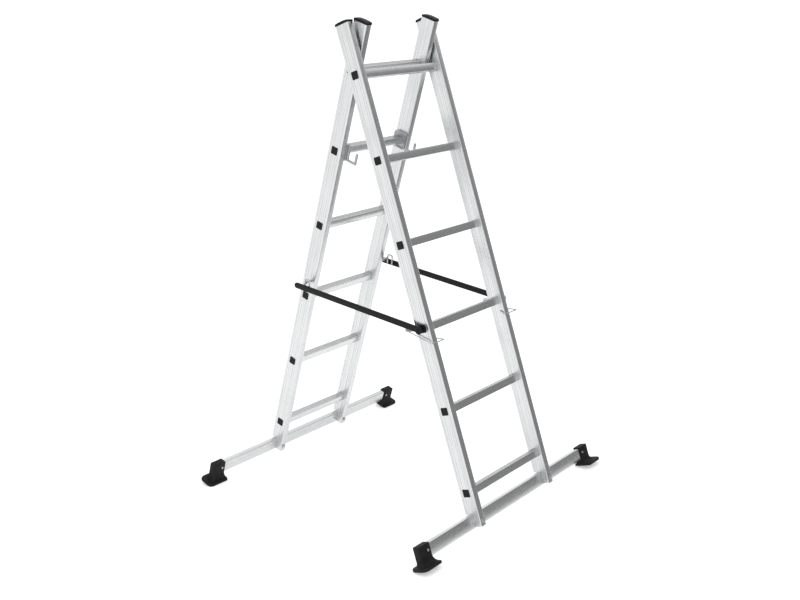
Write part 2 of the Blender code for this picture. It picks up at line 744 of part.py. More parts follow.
def main():
    clear_scene()
    front = Section("front", 0.430, 0.1476, 0.165, -LEAN, -RAIL_OFFSET)
    rear = Section("rear", 0.367, 0.1526, 0.157, LEAN, RAIL_OFFSET)
    make_section(front)
    make_section(rear)
    make_rung_plugs(front)
    make_hinge_pins(front, rear)
    make_stays(front)
    make_wire_locks(front)
    make_stay_pegs(rear)
    make_rung_hooks(rear)


main()
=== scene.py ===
"""Multi position ladder, standing as a stepladder on a pale studio floor.

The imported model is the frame: its bodies and joints stay as they are. The rails, rungs, caps, feet, stays,
locks and hooks are modelled here over their plain solids. Metres, +Z up, -Y towards the foot of the front
section.
"""

import logging
import math
from collections.abc import Callable, Iterator, Sequence
from contextlib import contextmanager
from dataclasses import dataclass
from enum import Enum

import bmesh
import bpy
from mathutils import Matrix, Vector


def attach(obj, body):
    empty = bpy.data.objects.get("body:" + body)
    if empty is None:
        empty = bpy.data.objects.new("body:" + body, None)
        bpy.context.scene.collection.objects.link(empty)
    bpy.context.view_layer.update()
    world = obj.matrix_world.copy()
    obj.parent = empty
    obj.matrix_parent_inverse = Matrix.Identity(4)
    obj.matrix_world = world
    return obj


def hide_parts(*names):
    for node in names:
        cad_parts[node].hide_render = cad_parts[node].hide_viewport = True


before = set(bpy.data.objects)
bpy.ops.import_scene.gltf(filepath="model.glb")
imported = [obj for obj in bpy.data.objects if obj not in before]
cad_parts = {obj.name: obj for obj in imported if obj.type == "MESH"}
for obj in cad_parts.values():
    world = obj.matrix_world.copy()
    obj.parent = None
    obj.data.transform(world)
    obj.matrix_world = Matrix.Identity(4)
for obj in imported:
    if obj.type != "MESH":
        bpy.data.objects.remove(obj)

LOG = logging.getLogger("ladder")
LEAN = math.radians(18.0)
HINGE_HEIGHT = 1.4803
FIT = 0.0003
RAIL_WIDTH = 0.025
RAIL_DEPTH = 0.058
RUNG_COUNT = 6
STAY_RUNG = 3
RUNG_HOLE = 0.0133
WHITE = (1.0, 1.0, 1.0, 1.0)

Point = tuple[float, float, float]
Colour = tuple[float, float, float]


class Side(Enum):
    """A side of the ladder, seen from the foot of the front section."""

    LEFT = -1.0
    RIGHT = 1.0

    @property
    def label(self) -> str:
        """The side's word in a piece's name."""
        return self.name.lower()


class Grain(Enum):
    """Which way a drawn or rolled surface was pulled: its turn about X, and whether it runs along X."""

    FRONT_RAIL = (-LEAN, False)
    REAR_RAIL = (LEAN, False)
    CROSS = (0.0, True)


class TabPlace(Enum):
    """Which side of its rail a wire lock's thumb tab stands on."""

    INSIDE = "inside"
    OUTSIDE = "outside"


class Boolean(Enum):
    """What a boolean does with its other solids."""

    CUT = "DIFFERENCE"
    FUSE = "UNION"


class Slot(Enum):
    """The record's material slots."""

    ALUMINIUM = "mill_aluminium"
    STEEL = "zinc_steel"
    CAST = "cast_grey"
    BLACK_STEEL = "black_steel"
    PLASTIC = "black_plastic"
    RUBBER = "black_rubber"


@dataclass(frozen=True)
class SectionFrame:
    """A ladder section's axes, from the hinge: x along the rungs, y through its depth, z up the rails."""

    name: str
    body: str
    tilt: float
    half_width: float
    top: float
    first_rung: float
    centre: float
    grain: Grain
    rung_pitch: float = 0.280
    bar_drop: float = 1.661

    def matrix(self) -> Matrix:
        """The section's axes in the ladder's frame."""
        return Matrix.Translation((0.0, 0.0, HINGE_HEIGHT)) @ Matrix.Rotation(self.tilt, 4, "X")

    def rung_z(self, index: int) -> float:
        """The height of a rung's centre, up the rails from the hinge."""
        return self.top - self.first_rung - index * self.rung_pitch

    def bar_z(self) -> float:
        """The height of the stabiliser bar's centre, up the rails from the hinge."""
        return self.top - self.bar_drop

    def rail_x(self, side: Side) -> float:
        """The centre of a rail along x."""
        return side.value * (self.half_width - RAIL_WIDTH / 2.0)


FRONT = SectionFrame("front", "front_section", -LEAN, 0.215, 0.1476, 0.165, -0.0216, Grain.FRONT_RAIL)
REAR = SectionFrame("rear", "rear_section", LEAN, 0.1835, 0.1526, 0.157, 0.0216, Grain.REAR_RAIL)


# Shader maths


class Wire:
    """A socket in a material that takes part in sums, products and mixes."""

    def __init__(self, graph: "Graph", socket: bpy.types.NodeSocket) -> None:
        """Keeps the socket and the graph that it belongs to."""
        self.graph = graph
        self.socket = socket

    def _math(self, operation: str, first: "Wire | float", second: "Wire | float") -> "Wire":
        """Adds a Math node.

        Args:
            operation: the node's operation.
            first: its first value.
            second: its second value.

        Returns:
            The result's socket.
        """
        return self.graph.node("ShaderNodeMath", {"operation": operation}, {0: first, 1: second})

    def __add__(self, other: "Wire | float") -> "Wire":
        """self + other."""
        return self._math("ADD", self, other)

    def __radd__(self, other: float) -> "Wire":
        """other + self."""
        return self._math("ADD", other, self)

    def __sub__(self, other: "Wire | float") -> "Wire":
        """self - other."""
        return self._math("SUBTRACT", self, other)

    def __rsub__(self, other: float) -> "Wire":
        """other - self."""
        return self._math("SUBTRACT", other, self)

    def __mul__(self, other: "Wire | float") -> "Wire":
        """self * other."""
        return self._math("MULTIPLY", self, other)

    def __rmul__(self, other: float) -> "Wire":
        """other * self."""
        return self._math("MULTIPLY", other, self)


class Graph:
    """The nodes of one material."""

    def __init__(self, name: str) -> None:
        """Starts a material with its principled shader.

        Args:
            name: the material's name.
        """
        self.material = bpy.data.materials.new(name)
        self.material.use_nodes = True
        self.tree = self.material.node_tree
        self.shader = self.tree.nodes["Principled BSDF"]

    def node(self, kind: str, settings: dict, inputs: dict, output: int | str = 0) -> Wire:
        """Adds a node.

        Args:
            kind: the node's type.
            settings: the node's own settings; "stops" are a ramp's (position, colour) pairs.
            inputs: the values or sockets of its inputs, by name or place.
            output: the output wanted.

        Returns:
            That output's socket.
        """
        item = self.tree.nodes.new(kind)
        for key, value in settings.items():
            if key == "stops":
                self._set_stops(item.color_ramp, value)
            else:
                setattr(item, key, value)
        for key, value in inputs.items():
            self._feed(item.inputs[key], value)
        return Wire(self, item.outputs[output])

    def _set_stops(self, ramp: bpy.types.ColorRamp, stops: Sequence[tuple[float, Colour]]) -> None:
        """Sets a ramp's stops.

        Args:
            ramp: the ramp.
            stops: its (position, colour) pairs, two or more.
        """
        while len(ramp.elements) < len(stops):
            ramp.elements.new(0.5)
        for element, (position, colour) in zip(ramp.elements, stops):
            element.position = position
            element.color = (*colour, 1.0)

    def _feed(self, socket: bpy.types.NodeSocket, value: "Wire | float | Sequence[float]") -> None:
        """Links or sets an input.

        Args:
            socket: the input.
            value: a socket to link, or a constant.
        """
        if isinstance(value, Wire):
            self.tree.links.new(value.socket, socket)
        else:
            socket.default_value = value

    def feed_shader(self, **inputs: "Wire | float | Sequence[float]") -> None:
        """Feeds the principled shader's inputs, named with underscores for spaces."""
        for key, value in inputs.items():
            self._feed(self.shader.inputs[key.replace("_", " ")], value)

    def noise(self, coords: Wire, scale: float, detail: float = 4.0, roughness: float = 0.55) -> Wire:
        """A noise from 0 to 1.

        Args:
            coords: the place on the surface.
            scale: lumps in a metre.
            detail: how many finer layers it has.
            roughness: how strong the finer layers are.

        Returns:
            The noise's value.
        """
        inputs = {"Vector": coords, "Scale": scale, "Detail": detail, "Roughness": roughness}
        return self.node("ShaderNodeTexNoise", {}, inputs)

    def mask(self, value: Wire, low: float, high: float) -> Wire:
        """Stretches the span from low to high to 0 to 1, and clamps it.

        Args:
            value: the value to stretch.
            low: what becomes 0.
            high: what becomes 1.

        Returns:
            The mask.
        """
        inputs = {"Value": value, "From Min": low, "From Max": high}
        return self.node("ShaderNodeMapRange", {"interpolation_type": "SMOOTHSTEP"}, inputs)

    def blend(self, factor: Wire, first: "Colour | Wire", second: "Colour | Wire") -> Wire:
        """Mixes two colours.

        Args:
            factor: 0 for the first, 1 for the second.
            first: the first colour, or its socket.
            second: the second colour, or its socket.

        Returns:
            The mixed colour.
        """
        values = [value if isinstance(value, Wire) else (*value, 1.0) for value in (first, second)]
        inputs = {0: factor, 6: values[0], 7: values[1]}
        return self.node("ShaderNodeMix", {"data_type": "RGBA"}, inputs, 2)

    def bump(self, height: Wire, distance: float, strength: float) -> Wire:
        """Raises the surface by a height.

        Args:
            height: the height, from 0 to 1.
            distance: how far 1 stands up, in metres.
            strength: how much of it shows.

        Returns:
            The bent normal.
        """
        inputs = {"Height": height, "Distance": distance, "Strength": strength}
        return self.node("ShaderNodeBump", {}, inputs)

    def place(self, grain: Grain | None = None) -> Wire:
        """The place on the surface, turned so that the grain's own axes are straight.

        Args:
            grain: the way that the surface was drawn.

        Returns:
            The coordinates, in metres.
        """
        coords = self.node("ShaderNodeTexCoord", {}, {}, "Object")
        if grain is None:
            return coords
        turn = (-grain.value[0], 0.0, 0.0)
        return self.node("ShaderNodeMapping", {}, {"Vector": coords, "Rotation": turn})

    def drawn(self, grain: Grain, along: float, across: float) -> Wire:
        """Coordinates that are stretched out along the grain.

        Args:
            grain: the way that the surface was drawn.
            along: lumps in a metre along the grain.
            across: lumps in a metre across it.

        Returns:
            The stretched coordinates.
        """
        scale = (along, across, across) if grain.value[1] else (across, across, along)
        return self.node("ShaderNodeMapping", {}, {"Vector": self.place(grain), "Scale": scale})


# Finishes


@dataclass(frozen=True)
class MillAluminium:
    """Bare extruded aluminium: fine die lines, faint dull bands and a few handling marks."""

    name: str = "mill_aluminium"
    colour: Colour = (0.66, 0.67, 0.675)
    dull: Colour = (0.61, 0.62, 0.625)
    roughness: float = 0.20

    def build(self, grain: Grain) -> bpy.types.Material:
        """Makes the material for surfaces drawn one way.

        Args:
            grain: the way that the metal was drawn.

        Returns:
            The material.
        """
        graph = Graph("{}_{}".format(self.name, grain.name.lower()))
        lines = graph.noise(graph.drawn(grain, 1.2, 900.0), 1.0, 3.0, 0.6)
        bands = graph.noise(graph.drawn(grain, 0.8, 90.0), 1.0, 2.0)
        clouds = graph.noise(graph.place(), 9.0, 3.0)
        marks = graph.mask(graph.noise(graph.place(), 75.0, 5.0, 0.7), 0.62, 0.74)
        dullness = graph.mask(0.55 * bands + 0.45 * clouds, 0.40, 0.66)
        shade = graph.blend(dullness, self.colour, self.dull)
        scuffed = graph.blend(marks * 0.12, shade, (0.55, 0.56, 0.57))
        roughness = self.roughness + 0.10 * lines + 0.08 * dullness + 0.08 * marks
        height = lines * 0.7 + bands * 0.3
        graph.feed_shader(Base_Color=scuffed, Roughness=roughness, Metallic=1.0,
                          Normal=graph.bump(height, 0.00003, 0.07))
        return graph.material


@dataclass(frozen=True)
class ZincSteel:
    """Zinc-plated steel with the soft patches of its plating."""

    name: str = "zinc_steel"
    colour: Colour = (0.62, 0.63, 0.64)
    shadow: Colour = (0.44, 0.45, 0.47)
    roughness: float = 0.28

    def build(self, grain: Grain) -> bpy.types.Material:
        """Makes the material.

        Args:
            grain: not needed, since the plating has none.

        Returns:
            The material.
        """
        graph = Graph(self.name)
        patches = graph.mask(graph.noise(graph.place(), 160.0, 4.0), 0.35, 0.70)
        fine = graph.noise(graph.place(), 1400.0, 2.0)
        graph.feed_shader(Base_Color=graph.blend(patches, self.colour, self.shadow), Metallic=1.0,
                          Roughness=self.roughness + 0.12 * patches + 0.08 * fine,
                          Normal=graph.bump(fine, 0.00004, 0.3))
        return graph.material


@dataclass(frozen=True)
class CastGrey:
    """Sand-cast aluminium with its grainy skin, darker in the pits."""

    name: str = "cast_grey"
    colour: Colour = (0.46, 0.47, 0.48)
    pit: Colour = (0.24, 0.245, 0.25)
    roughness: float = 0.46

    def build(self, grain: Grain) -> bpy.types.Material:
        """Makes the material.

        Args:
            grain: not needed, since a casting has none.

        Returns:
            The material.
        """
        graph = Graph(self.name)
        grit = graph.noise(graph.place(), 700.0, 5.0, 0.65)
        pits = graph.mask(grit, 0.52, 0.68)
        graph.feed_shader(Base_Color=graph.blend(pits, self.colour, self.pit), Metallic=0.9,
                          Roughness=self.roughness + 0.16 * grit, Normal=graph.bump(grit, 0.0002, 0.5))
        return graph.material


@dataclass(frozen=True)
class BlackCoat:
    """Black powder coat: a soft orange peel, with dull rubbed patches."""

    name: str = "black_steel"
    colour: Colour = (0.007, 0.007, 0.0075)
    rubbed: Colour = (0.014, 0.014, 0.015)
    roughness: float = 0.42

    def build(self, grain: Grain) -> bpy.types.Material:
        """Makes the material.

        Args:
            grain: not needed, since the coat has none.

        Returns:
            The material.
        """
        graph = Graph(self.name)
        peel = graph.noise(graph.place(), 650.0, 2.0)
        rubs = graph.mask(graph.noise(graph.place(), 38.0, 5.0, 0.65), 0.50, 0.68)
        graph.feed_shader(Base_Color=graph.blend(rubs, self.colour, self.rubbed), Specular_IOR_Level=0.15,
                          Roughness=self.roughness + 0.10 * peel + 0.12 * rubs,
                          Normal=graph.bump(peel, 0.00012, 0.35))
        return graph.material


@dataclass(frozen=True)
class MouldedPlastic:
    """Black moulded plastic with a fine eroded texture."""

    name: str = "black_plastic"
    colour: Colour = (0.005, 0.005, 0.0055)
    bloom: Colour = (0.010, 0.010, 0.011)
    roughness: float = 0.46

    def build(self, grain: Grain) -> bpy.types.Material:
        """Makes the material.

        Args:
            grain: not needed, since the moulding has none.

        Returns:
            The material.
        """
        graph = Graph(self.name)
        texture = graph.noise(graph.place(), 2200.0, 2.0)
        haze = graph.mask(graph.noise(graph.place(), 60.0, 3.0), 0.40, 0.70)
        graph.feed_shader(Base_Color=graph.blend(haze, self.colour, self.bloom), Specular_IOR_Level=0.18,
                          Roughness=self.roughness + 0.10 * texture + 0.08 * haze,
                          Normal=graph.bump(texture, 0.00008, 0.4))
        return graph.material


@dataclass(frozen=True)
class BlackRubber:
    """Black rubber, dull, with a little floor dust low on the sole."""

    name: str = "black_rubber"
    colour: Colour = (0.006, 0.006, 0.0065)
    worn: Colour = (0.014, 0.014, 0.0145)
    dust: Colour = (0.055, 0.054, 0.052)
    roughness: float = 0.56

    def build(self, grain: Grain) -> bpy.types.Material:
        """Makes the material.

        Args:
            grain: not needed, since the moulding has none.

        Returns:
            The material.
        """
        graph = Graph(self.name)
        coords = graph.place()
        height = graph.node("ShaderNodeSeparateXYZ", {}, {"Vector": coords}, "Z")
        texture = graph.noise(coords, 1100.0, 3.0)
        worn = graph.mask(graph.noise(coords, 55.0, 4.0, 0.65), 0.42, 0.68)
        low = 1.0 - graph.mask(height, 0.001, 0.010)
        dusty = low * graph.mask(graph.noise(coords, 120.0, 4.0), 0.40, 0.65) * 0.5
        shade = graph.blend(dusty, graph.blend(worn, self.colour, self.worn), self.dust)
        graph.feed_shader(Base_Color=shade, Specular_IOR_Level=0.2,
                          Roughness=self.roughness + 0.12 * texture + 0.10 * worn,
                          Normal=graph.bump(texture, 0.00015, 0.45))
        return graph.material


Finish = MillAluminium | ZincSteel | CastGrey | BlackCoat | MouldedPlastic | BlackRubber


class Palette:
    """The materials made so far, one for each finish and grain."""

    SLOTS = {MillAluminium: Slot.ALUMINIUM, ZincSteel: Slot.STEEL, CastGrey: Slot.CAST,
             BlackCoat: Slot.BLACK_STEEL, MouldedPlastic: Slot.PLASTIC, BlackRubber: Slot.RUBBER}

    def __init__(self) -> None:
        """Starts with no materials."""
        self.made: dict[str, bpy.types.Material] = {}

    def material(self, finish: Finish, grain: Grain) -> bpy.types.Material:
        """The material of a finish.

        Args:
            finish: the finish.
            grain: the way that the surface was drawn.

        Returns:
            The material, made on its first use.
        """
        key = "{}_{}".format(finish.name, grain.name) if isinstance(finish, MillAluminium) else finish.name
        if key not in self.made:
            self.made[key] = finish.build(grain)
        return self.made[key]

    def slot(self, finish: Finish) -> str:
        """The record's slot for a finish."""
        return self.SLOTS[type(finish)].value


PALETTE = Palette()
ALUMINIUM = MillAluminium()
STEEL = ZincSteel()
CAST = CastGrey()
COAT = BlackCoat()
PLASTIC = MouldedPlastic()
RUBBER = BlackRubber()


# Modelling


def focus(item: bpy.types.Object) -> None:
    """Selects one object alone and makes it active."""
    bpy.ops.object.select_all(action="DESELECT")
    item.select_set(True)
    bpy.context.view_layer.objects.active = item


def take_primitive(name: str) -> bpy.types.Object:
    """Names the primitive just added and applies its place, turn and size."""
    item = bpy.context.object
    item.name = name
    bpy.ops.object.transform_apply(location=True, rotation=True, scale=True)
    return item


def add_box(name: str, low: Sequence[float], high: Sequence[float]) -> bpy.types.Object:
    """Adds a box.

    Args:
        name: the piece's name.
        low: its lowest corner.
        high: its highest corner.

    Returns:
        The box.
    """
    size = Vector(high) - Vector(low)
    bpy.ops.object.select_all(action="DESELECT")
    bpy.ops.mesh.primitive_cube_add(size=1.0, location=(Vector(low) + Vector(high)) / 2.0, scale=size)
    return take_primitive(name)


def add_rod(name: str, start: Sequence[float], end: Sequence[float], radius: float,
            sides: int = 32) -> bpy.types.Object:
    """Adds a rod between two points.

    Args:
        name: the piece's name.
        start: the centre of one end.
        end: the centre of the other end.
        radius: its radius.
        sides: its number of sides.

    Returns:
        The rod.
    """
    span = Vector(end) - Vector(start)
    turn = span.to_track_quat("Z", "Y").to_euler()
    bpy.ops.object.select_all(action="DESELECT")
    bpy.ops.mesh.primitive_cylinder_add(vertices=sides, radius=radius, depth=span.length,
                                        location=(Vector(start) + Vector(end)) / 2.0, rotation=turn)
    return take_primitive(name)


@contextmanager
def editing(item: bpy.types.Object) -> Iterator[None]:
    """Opens an object in edit mode with nothing selected, and closes it again."""
    focus(item)
    bpy.ops.object.mode_set(mode="EDIT")
    bpy.ops.mesh.select_all(action="DESELECT")
    yield
    bpy.ops.object.mode_set(mode="OBJECT")


def pick_faces(item: bpy.types.Object, test: Callable[[Vector, Vector], bool]) -> None:
    """Selects faces in edit mode.

    Args:
        item: the object in edit mode.
        test: tells from a face's centre and normal if it is wanted.
    """
    bpy.ops.mesh.select_mode(type="FACE")
    bpy.ops.mesh.select_all(action="DESELECT")
    mesh = bmesh.from_edit_mesh(item.data)
    for face in mesh.faces:
        if test(face.calc_center_median(), face.normal):
            face.select_set(True)
    bmesh.update_edit_mesh(item.data)


def pick_edges(item: bpy.types.Object, test: Callable[[Vector, Vector], bool]) -> None:
    """Selects edges in edit mode.

    Args:
        item: the object in edit mode.
        test: tells from an edge's middle and direction if it is wanted.
    """
    bpy.ops.mesh.select_mode(type="EDGE")
    bpy.ops.mesh.select_all(action="DESELECT")
    mesh = bmesh.from_edit_mesh(item.data)
    for edge in mesh.edges:
        first, second = (vert.co for vert in edge.verts)
        if test((first + second) / 2.0, (second - first).normalized()):
            edge.select_set(True)
    bmesh.update_edit_mesh(item.data)


def pick_points(item: bpy.types.Object, test: Callable[[Vector], bool]) -> None:
    """Selects points in edit mode.

    Args:
        item: the object in edit mode.
        test: tells from a point's place if it is wanted.
    """
    bpy.ops.mesh.select_mode(type="VERT")
    bpy.ops.mesh.select_all(action="DESELECT")
    mesh = bmesh.from_edit_mesh(item.data)
    for vert in mesh.verts:
        if test(vert.co):
            vert.select_set(True)
    bmesh.update_edit_mesh(item.data)


def slice_at(place: Sequence[float], normal: Sequence[float], clear: bool = False) -> None:
    """Cuts the mesh in edit mode along a plane.

    Args:
        place: a point on the plane.
        normal: the plane's normal.
        clear: also removes what is beyond the plane, and closes the cut.
    """
    bpy.ops.mesh.select_all(action="SELECT")
    bpy.ops.mesh.bisect(plane_co=place, plane_no=normal, use_fill=clear, clear_outer=clear)


def apply_modifier(item: bpy.types.Object, modifier: bpy.types.Modifier) -> None:
    """Applies one modifier of an object."""
    focus(item)
    bpy.ops.object.modifier_apply(modifier=modifier.name)


def soften(item: bpy.types.Object, width: float, segments: int = 2, angle: float = 40.0) -> None:
    """Rounds an object's sharp edges.

    Args:
        item: the object.
        width: how far the rounding reaches.
        segments: how many strips it has.
        angle: the least angle of an edge that counts, in degrees.
    """
    modifier = item.modifiers.new("edge", "BEVEL")
    modifier.width = width
    modifier.segments = segments
    modifier.limit_method = "ANGLE"
    modifier.angle_limit = math.radians(angle)
    apply_modifier(item, modifier)


def combine(item: bpy.types.Object, boolean: Boolean, *others: bpy.types.Object) -> None:
    """Takes other solids out of an object or fuses them to it, and removes them.

    Args:
        item: the object.
        boolean: what to do.
        others: the other solids.
    """
    for other in others:
        modifier = item.modifiers.new("boolean", "BOOLEAN")
        modifier.operation = boolean.value
        modifier.solver = "EXACT"
        modifier.object = other
        apply_modifier(item, modifier)
        bpy.data.objects.remove(other, do_unlink=True)


def cut(item: bpy.types.Object, *cutters: bpy.types.Object) -> None:
    """Takes cutters out of an object and removes them."""
    combine(item, Boolean.CUT, *cutters)


def join(item: bpy.types.Object, *others: bpy.types.Object) -> bpy.types.Object:
    """Joins objects into the first one.

    Args:
        item: the object that stays.
        others: the objects that become part of it.

    Returns:
        The joined object.
    """
    focus(item)
    for other in others:
        other.select_set(True)
    bpy.ops.object.join()
    return item


def copy_piece(item: bpy.types.Object, name: str, matrix: Matrix) -> bpy.types.Object:
    """Copies a piece with a mesh of its own.

    Args:
        item: the piece to copy.
        name: the copy's name.
        matrix: moves the copy's mesh.

    Returns:
        The copy.
    """
    twin = item.copy()
    twin.data = item.data.copy()
    twin.name = name
    twin.data.transform(matrix)
    bpy.context.scene.collection.objects.link(twin)
    return twin


def add_wire(name: str, points: Sequence[Point], radius: float, bend: float) -> bpy.types.Object:
    """Bends a round wire through points.

    Args:
        name: the piece's name.
        points: the wire's corners and ends.
        radius: the wire's radius.
        bend: how far from a corner its bend begins.

    Returns:
        The wire, as a mesh with closed ends.
    """
    path = bend_corners([Vector(point) for point in points], bend)
    curve = bpy.data.curves.new(name, "CURVE")
    curve.dimensions = "3D"
    curve.bevel_depth = radius
    curve.bevel_resolution = 4
    curve.use_fill_caps = True
    spline = curve.splines.new("POLY")
    spline.points.add(len(path) - 1)
    for point, place in zip(spline.points, path):
        point.co = (*place, 1.0)
    item = bpy.data.objects.new(name, curve)
    bpy.context.scene.collection.objects.link(item)
    focus(item)
    bpy.ops.object.convert(target="MESH")
    with editing(item):
        bpy.ops.mesh.select_all(action="SELECT")
        bpy.ops.mesh.remove_doubles(threshold=0.00001)
        bpy.ops.mesh.normals_make_consistent(inside=False)
    return item


def bend_corners(points: list[Vector], reach: float, steps: int = 6) -> list[Vector]:
    """Rounds the inner corners of a path.

    Args:
        points: the path's corners.
        reach: how far from a corner its bend begins.
        steps: how many parts each bend has.

    Returns:
        The path with its bends.
    """
    path = [points[0]]
    for before, corner, after in zip(points, points[1:], points[2:]):
        limit = min(reach, (before - corner).length * 0.48, (after - corner).length * 0.48)
        start = corner + (before - corner).normalized() * limit
        end = corner + (after - corner).normalized() * limit
        for step in range(steps + 1):
            share = step / steps
            path.append(start.lerp(corner, share).lerp(corner.lerp(end, share), share))
    path.append(points[-1])
    return path


def settle(item: bpy.types.Object, matrix: Matrix, finish: Finish, grain: Grain, body: str,
           nodes: Sequence[str] = (), angle: float = 32.0) -> bpy.types.Object:
    """Puts a finished piece in place, dresses it and ties it to its body.

    Args:
        item: the piece.
        matrix: moves its mesh into the ladder's frame.
        finish: its finish.
        grain: the way that its surface was drawn.
        body: the body that it rides on.
        nodes: the plain solids that it stands for.
        angle: edges sharper than this stay sharp, in degrees.

    Returns:
        The piece.
    """
    item.data.transform(matrix)
    item.data.update()
    focus(item)
    bpy.ops.object.shade_smooth_by_angle(angle=math.radians(angle))
    item.data.materials.clear()
    item.data.materials.append(PALETTE.material(finish, grain))
    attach(item, body)
    PALETTE.slot(finish)
    if nodes:
        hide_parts(*nodes)
    return item


def add_hex_bolt(name: str, head: Vector, nut: Vector, across: float, shank: float,
                 height: float) -> bpy.types.Object:
    """A hexagon bolt with washers, its nut and the end of its thread.

    Args:
        name: the piece's name.
        head: where its head meets the work.
        nut: where its nut meets the work.
        across: the radius of the hexagon's corners.
        shank: the shank's radius.
        height: how tall the head and its washer are.

    Returns:
        The bolt.
    """
    along = (nut - head).normalized()
    washer = height * 0.25
    parts = []
    for place, way in ((head, -along), (nut, along)):
        disc = add_rod("washer", place, place + way * washer, across * 1.12, 32)
        soften(disc, washer * 0.3, 1)
        hexagon = add_rod("hexagon", place + way * washer, place + way * height, across, 6)
        soften(hexagon, height * 0.12, 2, 20.0)
        parts += [disc, hexagon]
    rod = add_rod(name, head - along * (height * 0.4), nut + along * (height + 0.003), shank, 24)
    soften(rod, shank * 0.2, 1)
    return join(rod, *parts)


# The ladder's parts


@dataclass
class Rail:
    """A hollow side rail with shallow lines along its webs, holes for its rungs and a step for the bar."""

    section: SectionFrame
    side: Side
    width: float = RAIL_WIDTH
    depth: float = RAIL_DEPTH
    wall: float = 0.002
    length: float = 1.680
    corner: float = 0.003
    groove: float = 0.0006
    groove_places: tuple[tuple[float, float], ...] = ((0.0175, 0.0195), (0.0085, 0.0095))
    hole: float = RUNG_HOLE
    hinge_hole: float = 0.0043
    bar_face: float = -0.003
    bar_half: float = 0.022

    @property
    def middle(self) -> float:
        """The rail's centre along x."""
        return self.section.rail_x(self.side)

    def build(self) -> bpy.types.Object:
        """Models the rail.

        Returns:
            The rail.
        """
        section = self.section
        name = "{}_{}_side_rail".format(section.name, self.side.label)
        low = section.top - self.length
        half = Vector((self.width / 2.0, self.depth / 2.0, 0.0))
        centre = Vector((self.middle, section.centre, 0.0))
        rail = add_box(name, centre - half + Vector((0, 0, low - 0.01)),
                       centre + half + Vector((0, 0, section.top + 0.01)))
        with editing(rail):
            pick_edges(rail, lambda middle, way: abs(way.z) > 0.9)
            bpy.ops.mesh.bevel(offset=self.corner, segments=4, affect="EDGES")
            self.press_grooves(rail)
            slice_at((0.0, 0.0, section.top), (0.0, 0.0, 1.0), True)
            slice_at((0.0, 0.0, low), (0.0, 0.0, -1.0), True)
        self.cut_openings(rail, low)
        node = "{}_rail_{}".format(section.name, self.side.label)
        return settle(rail, section.matrix(), ALUMINIUM, section.grain, section.body, (node,))

    def press_grooves(self, rail: bpy.types.Object) -> None:
        """Sinks the lines along both webs.

        Args:
            rail: the rail, in edit mode.
        """
        centre = self.section.centre
        for near, far in self.groove_places:
            for place in (-far, -near, near, far):
                slice_at((0.0, centre + place, 0.0), (0.0, 1.0, 0.0))

        def in_groove(middle: Vector, normal: Vector) -> bool:
            """Tells if a face of a web lies in a groove."""
            offset = abs(middle.y - centre)
            return abs(normal.x) > 0.9 and any(near < offset < far for near, far in self.groove_places)

        pick_faces(rail, in_groove)
        bpy.ops.mesh.extrude_region_shrink_fatten(TRANSFORM_OT_shrink_fatten={"value": -self.groove})

    def cut_openings(self, rail: bpy.types.Object, low: float) -> None:
        """Hollows the rail and cuts its rung holes, its step for the bar, and its bolt and hinge holes.

        Args:
            rail: the rail.
            low: the height of its lower end.
        """
        section = self.section
        inner = Vector((self.width / 2.0 - self.wall, self.depth / 2.0 - self.wall, 0.0))
        centre = Vector((self.middle, section.centre, 0.0))
        cut(rail, add_box("core", centre - inner + Vector((0, 0, low - 0.05)),
                          centre + inner + Vector((0, 0, section.top + 0.05))))
        square = Vector((self.width, self.hole, self.hole))
        for index in range(RUNG_COUNT):
            place = centre + Vector((0.0, 0.0, section.rung_z(index)))
            cut(rail, add_box("rung_hole", place - square, place + square))
        step = section.centre + self.bar_face - FIT
        top = section.bar_z() + self.bar_half + FIT
        cut(rail, add_box("step", (self.middle - self.width, step, low - 0.05),
                          (self.middle + self.width, step + self.depth, top)))
        front = section.centre - self.depth / 2.0
        place = Vector((self.middle, front, section.bar_z()))
        cut(rail, add_rod("bolt_hole", place - Vector((0, 0.01, 0)), place + Vector((0, 0.01, 0)), 0.0033))
        wall = section.half_width - self.wall / 2.0 if section is REAR else section.half_width - self.width
        place = Vector((self.side.value * wall, 0.0, 0.0))
        reach = Vector((0.004, 0.0, 0.0))
        cut(rail, add_rod("hinge_hole", place - reach, place + reach, self.hinge_hole))


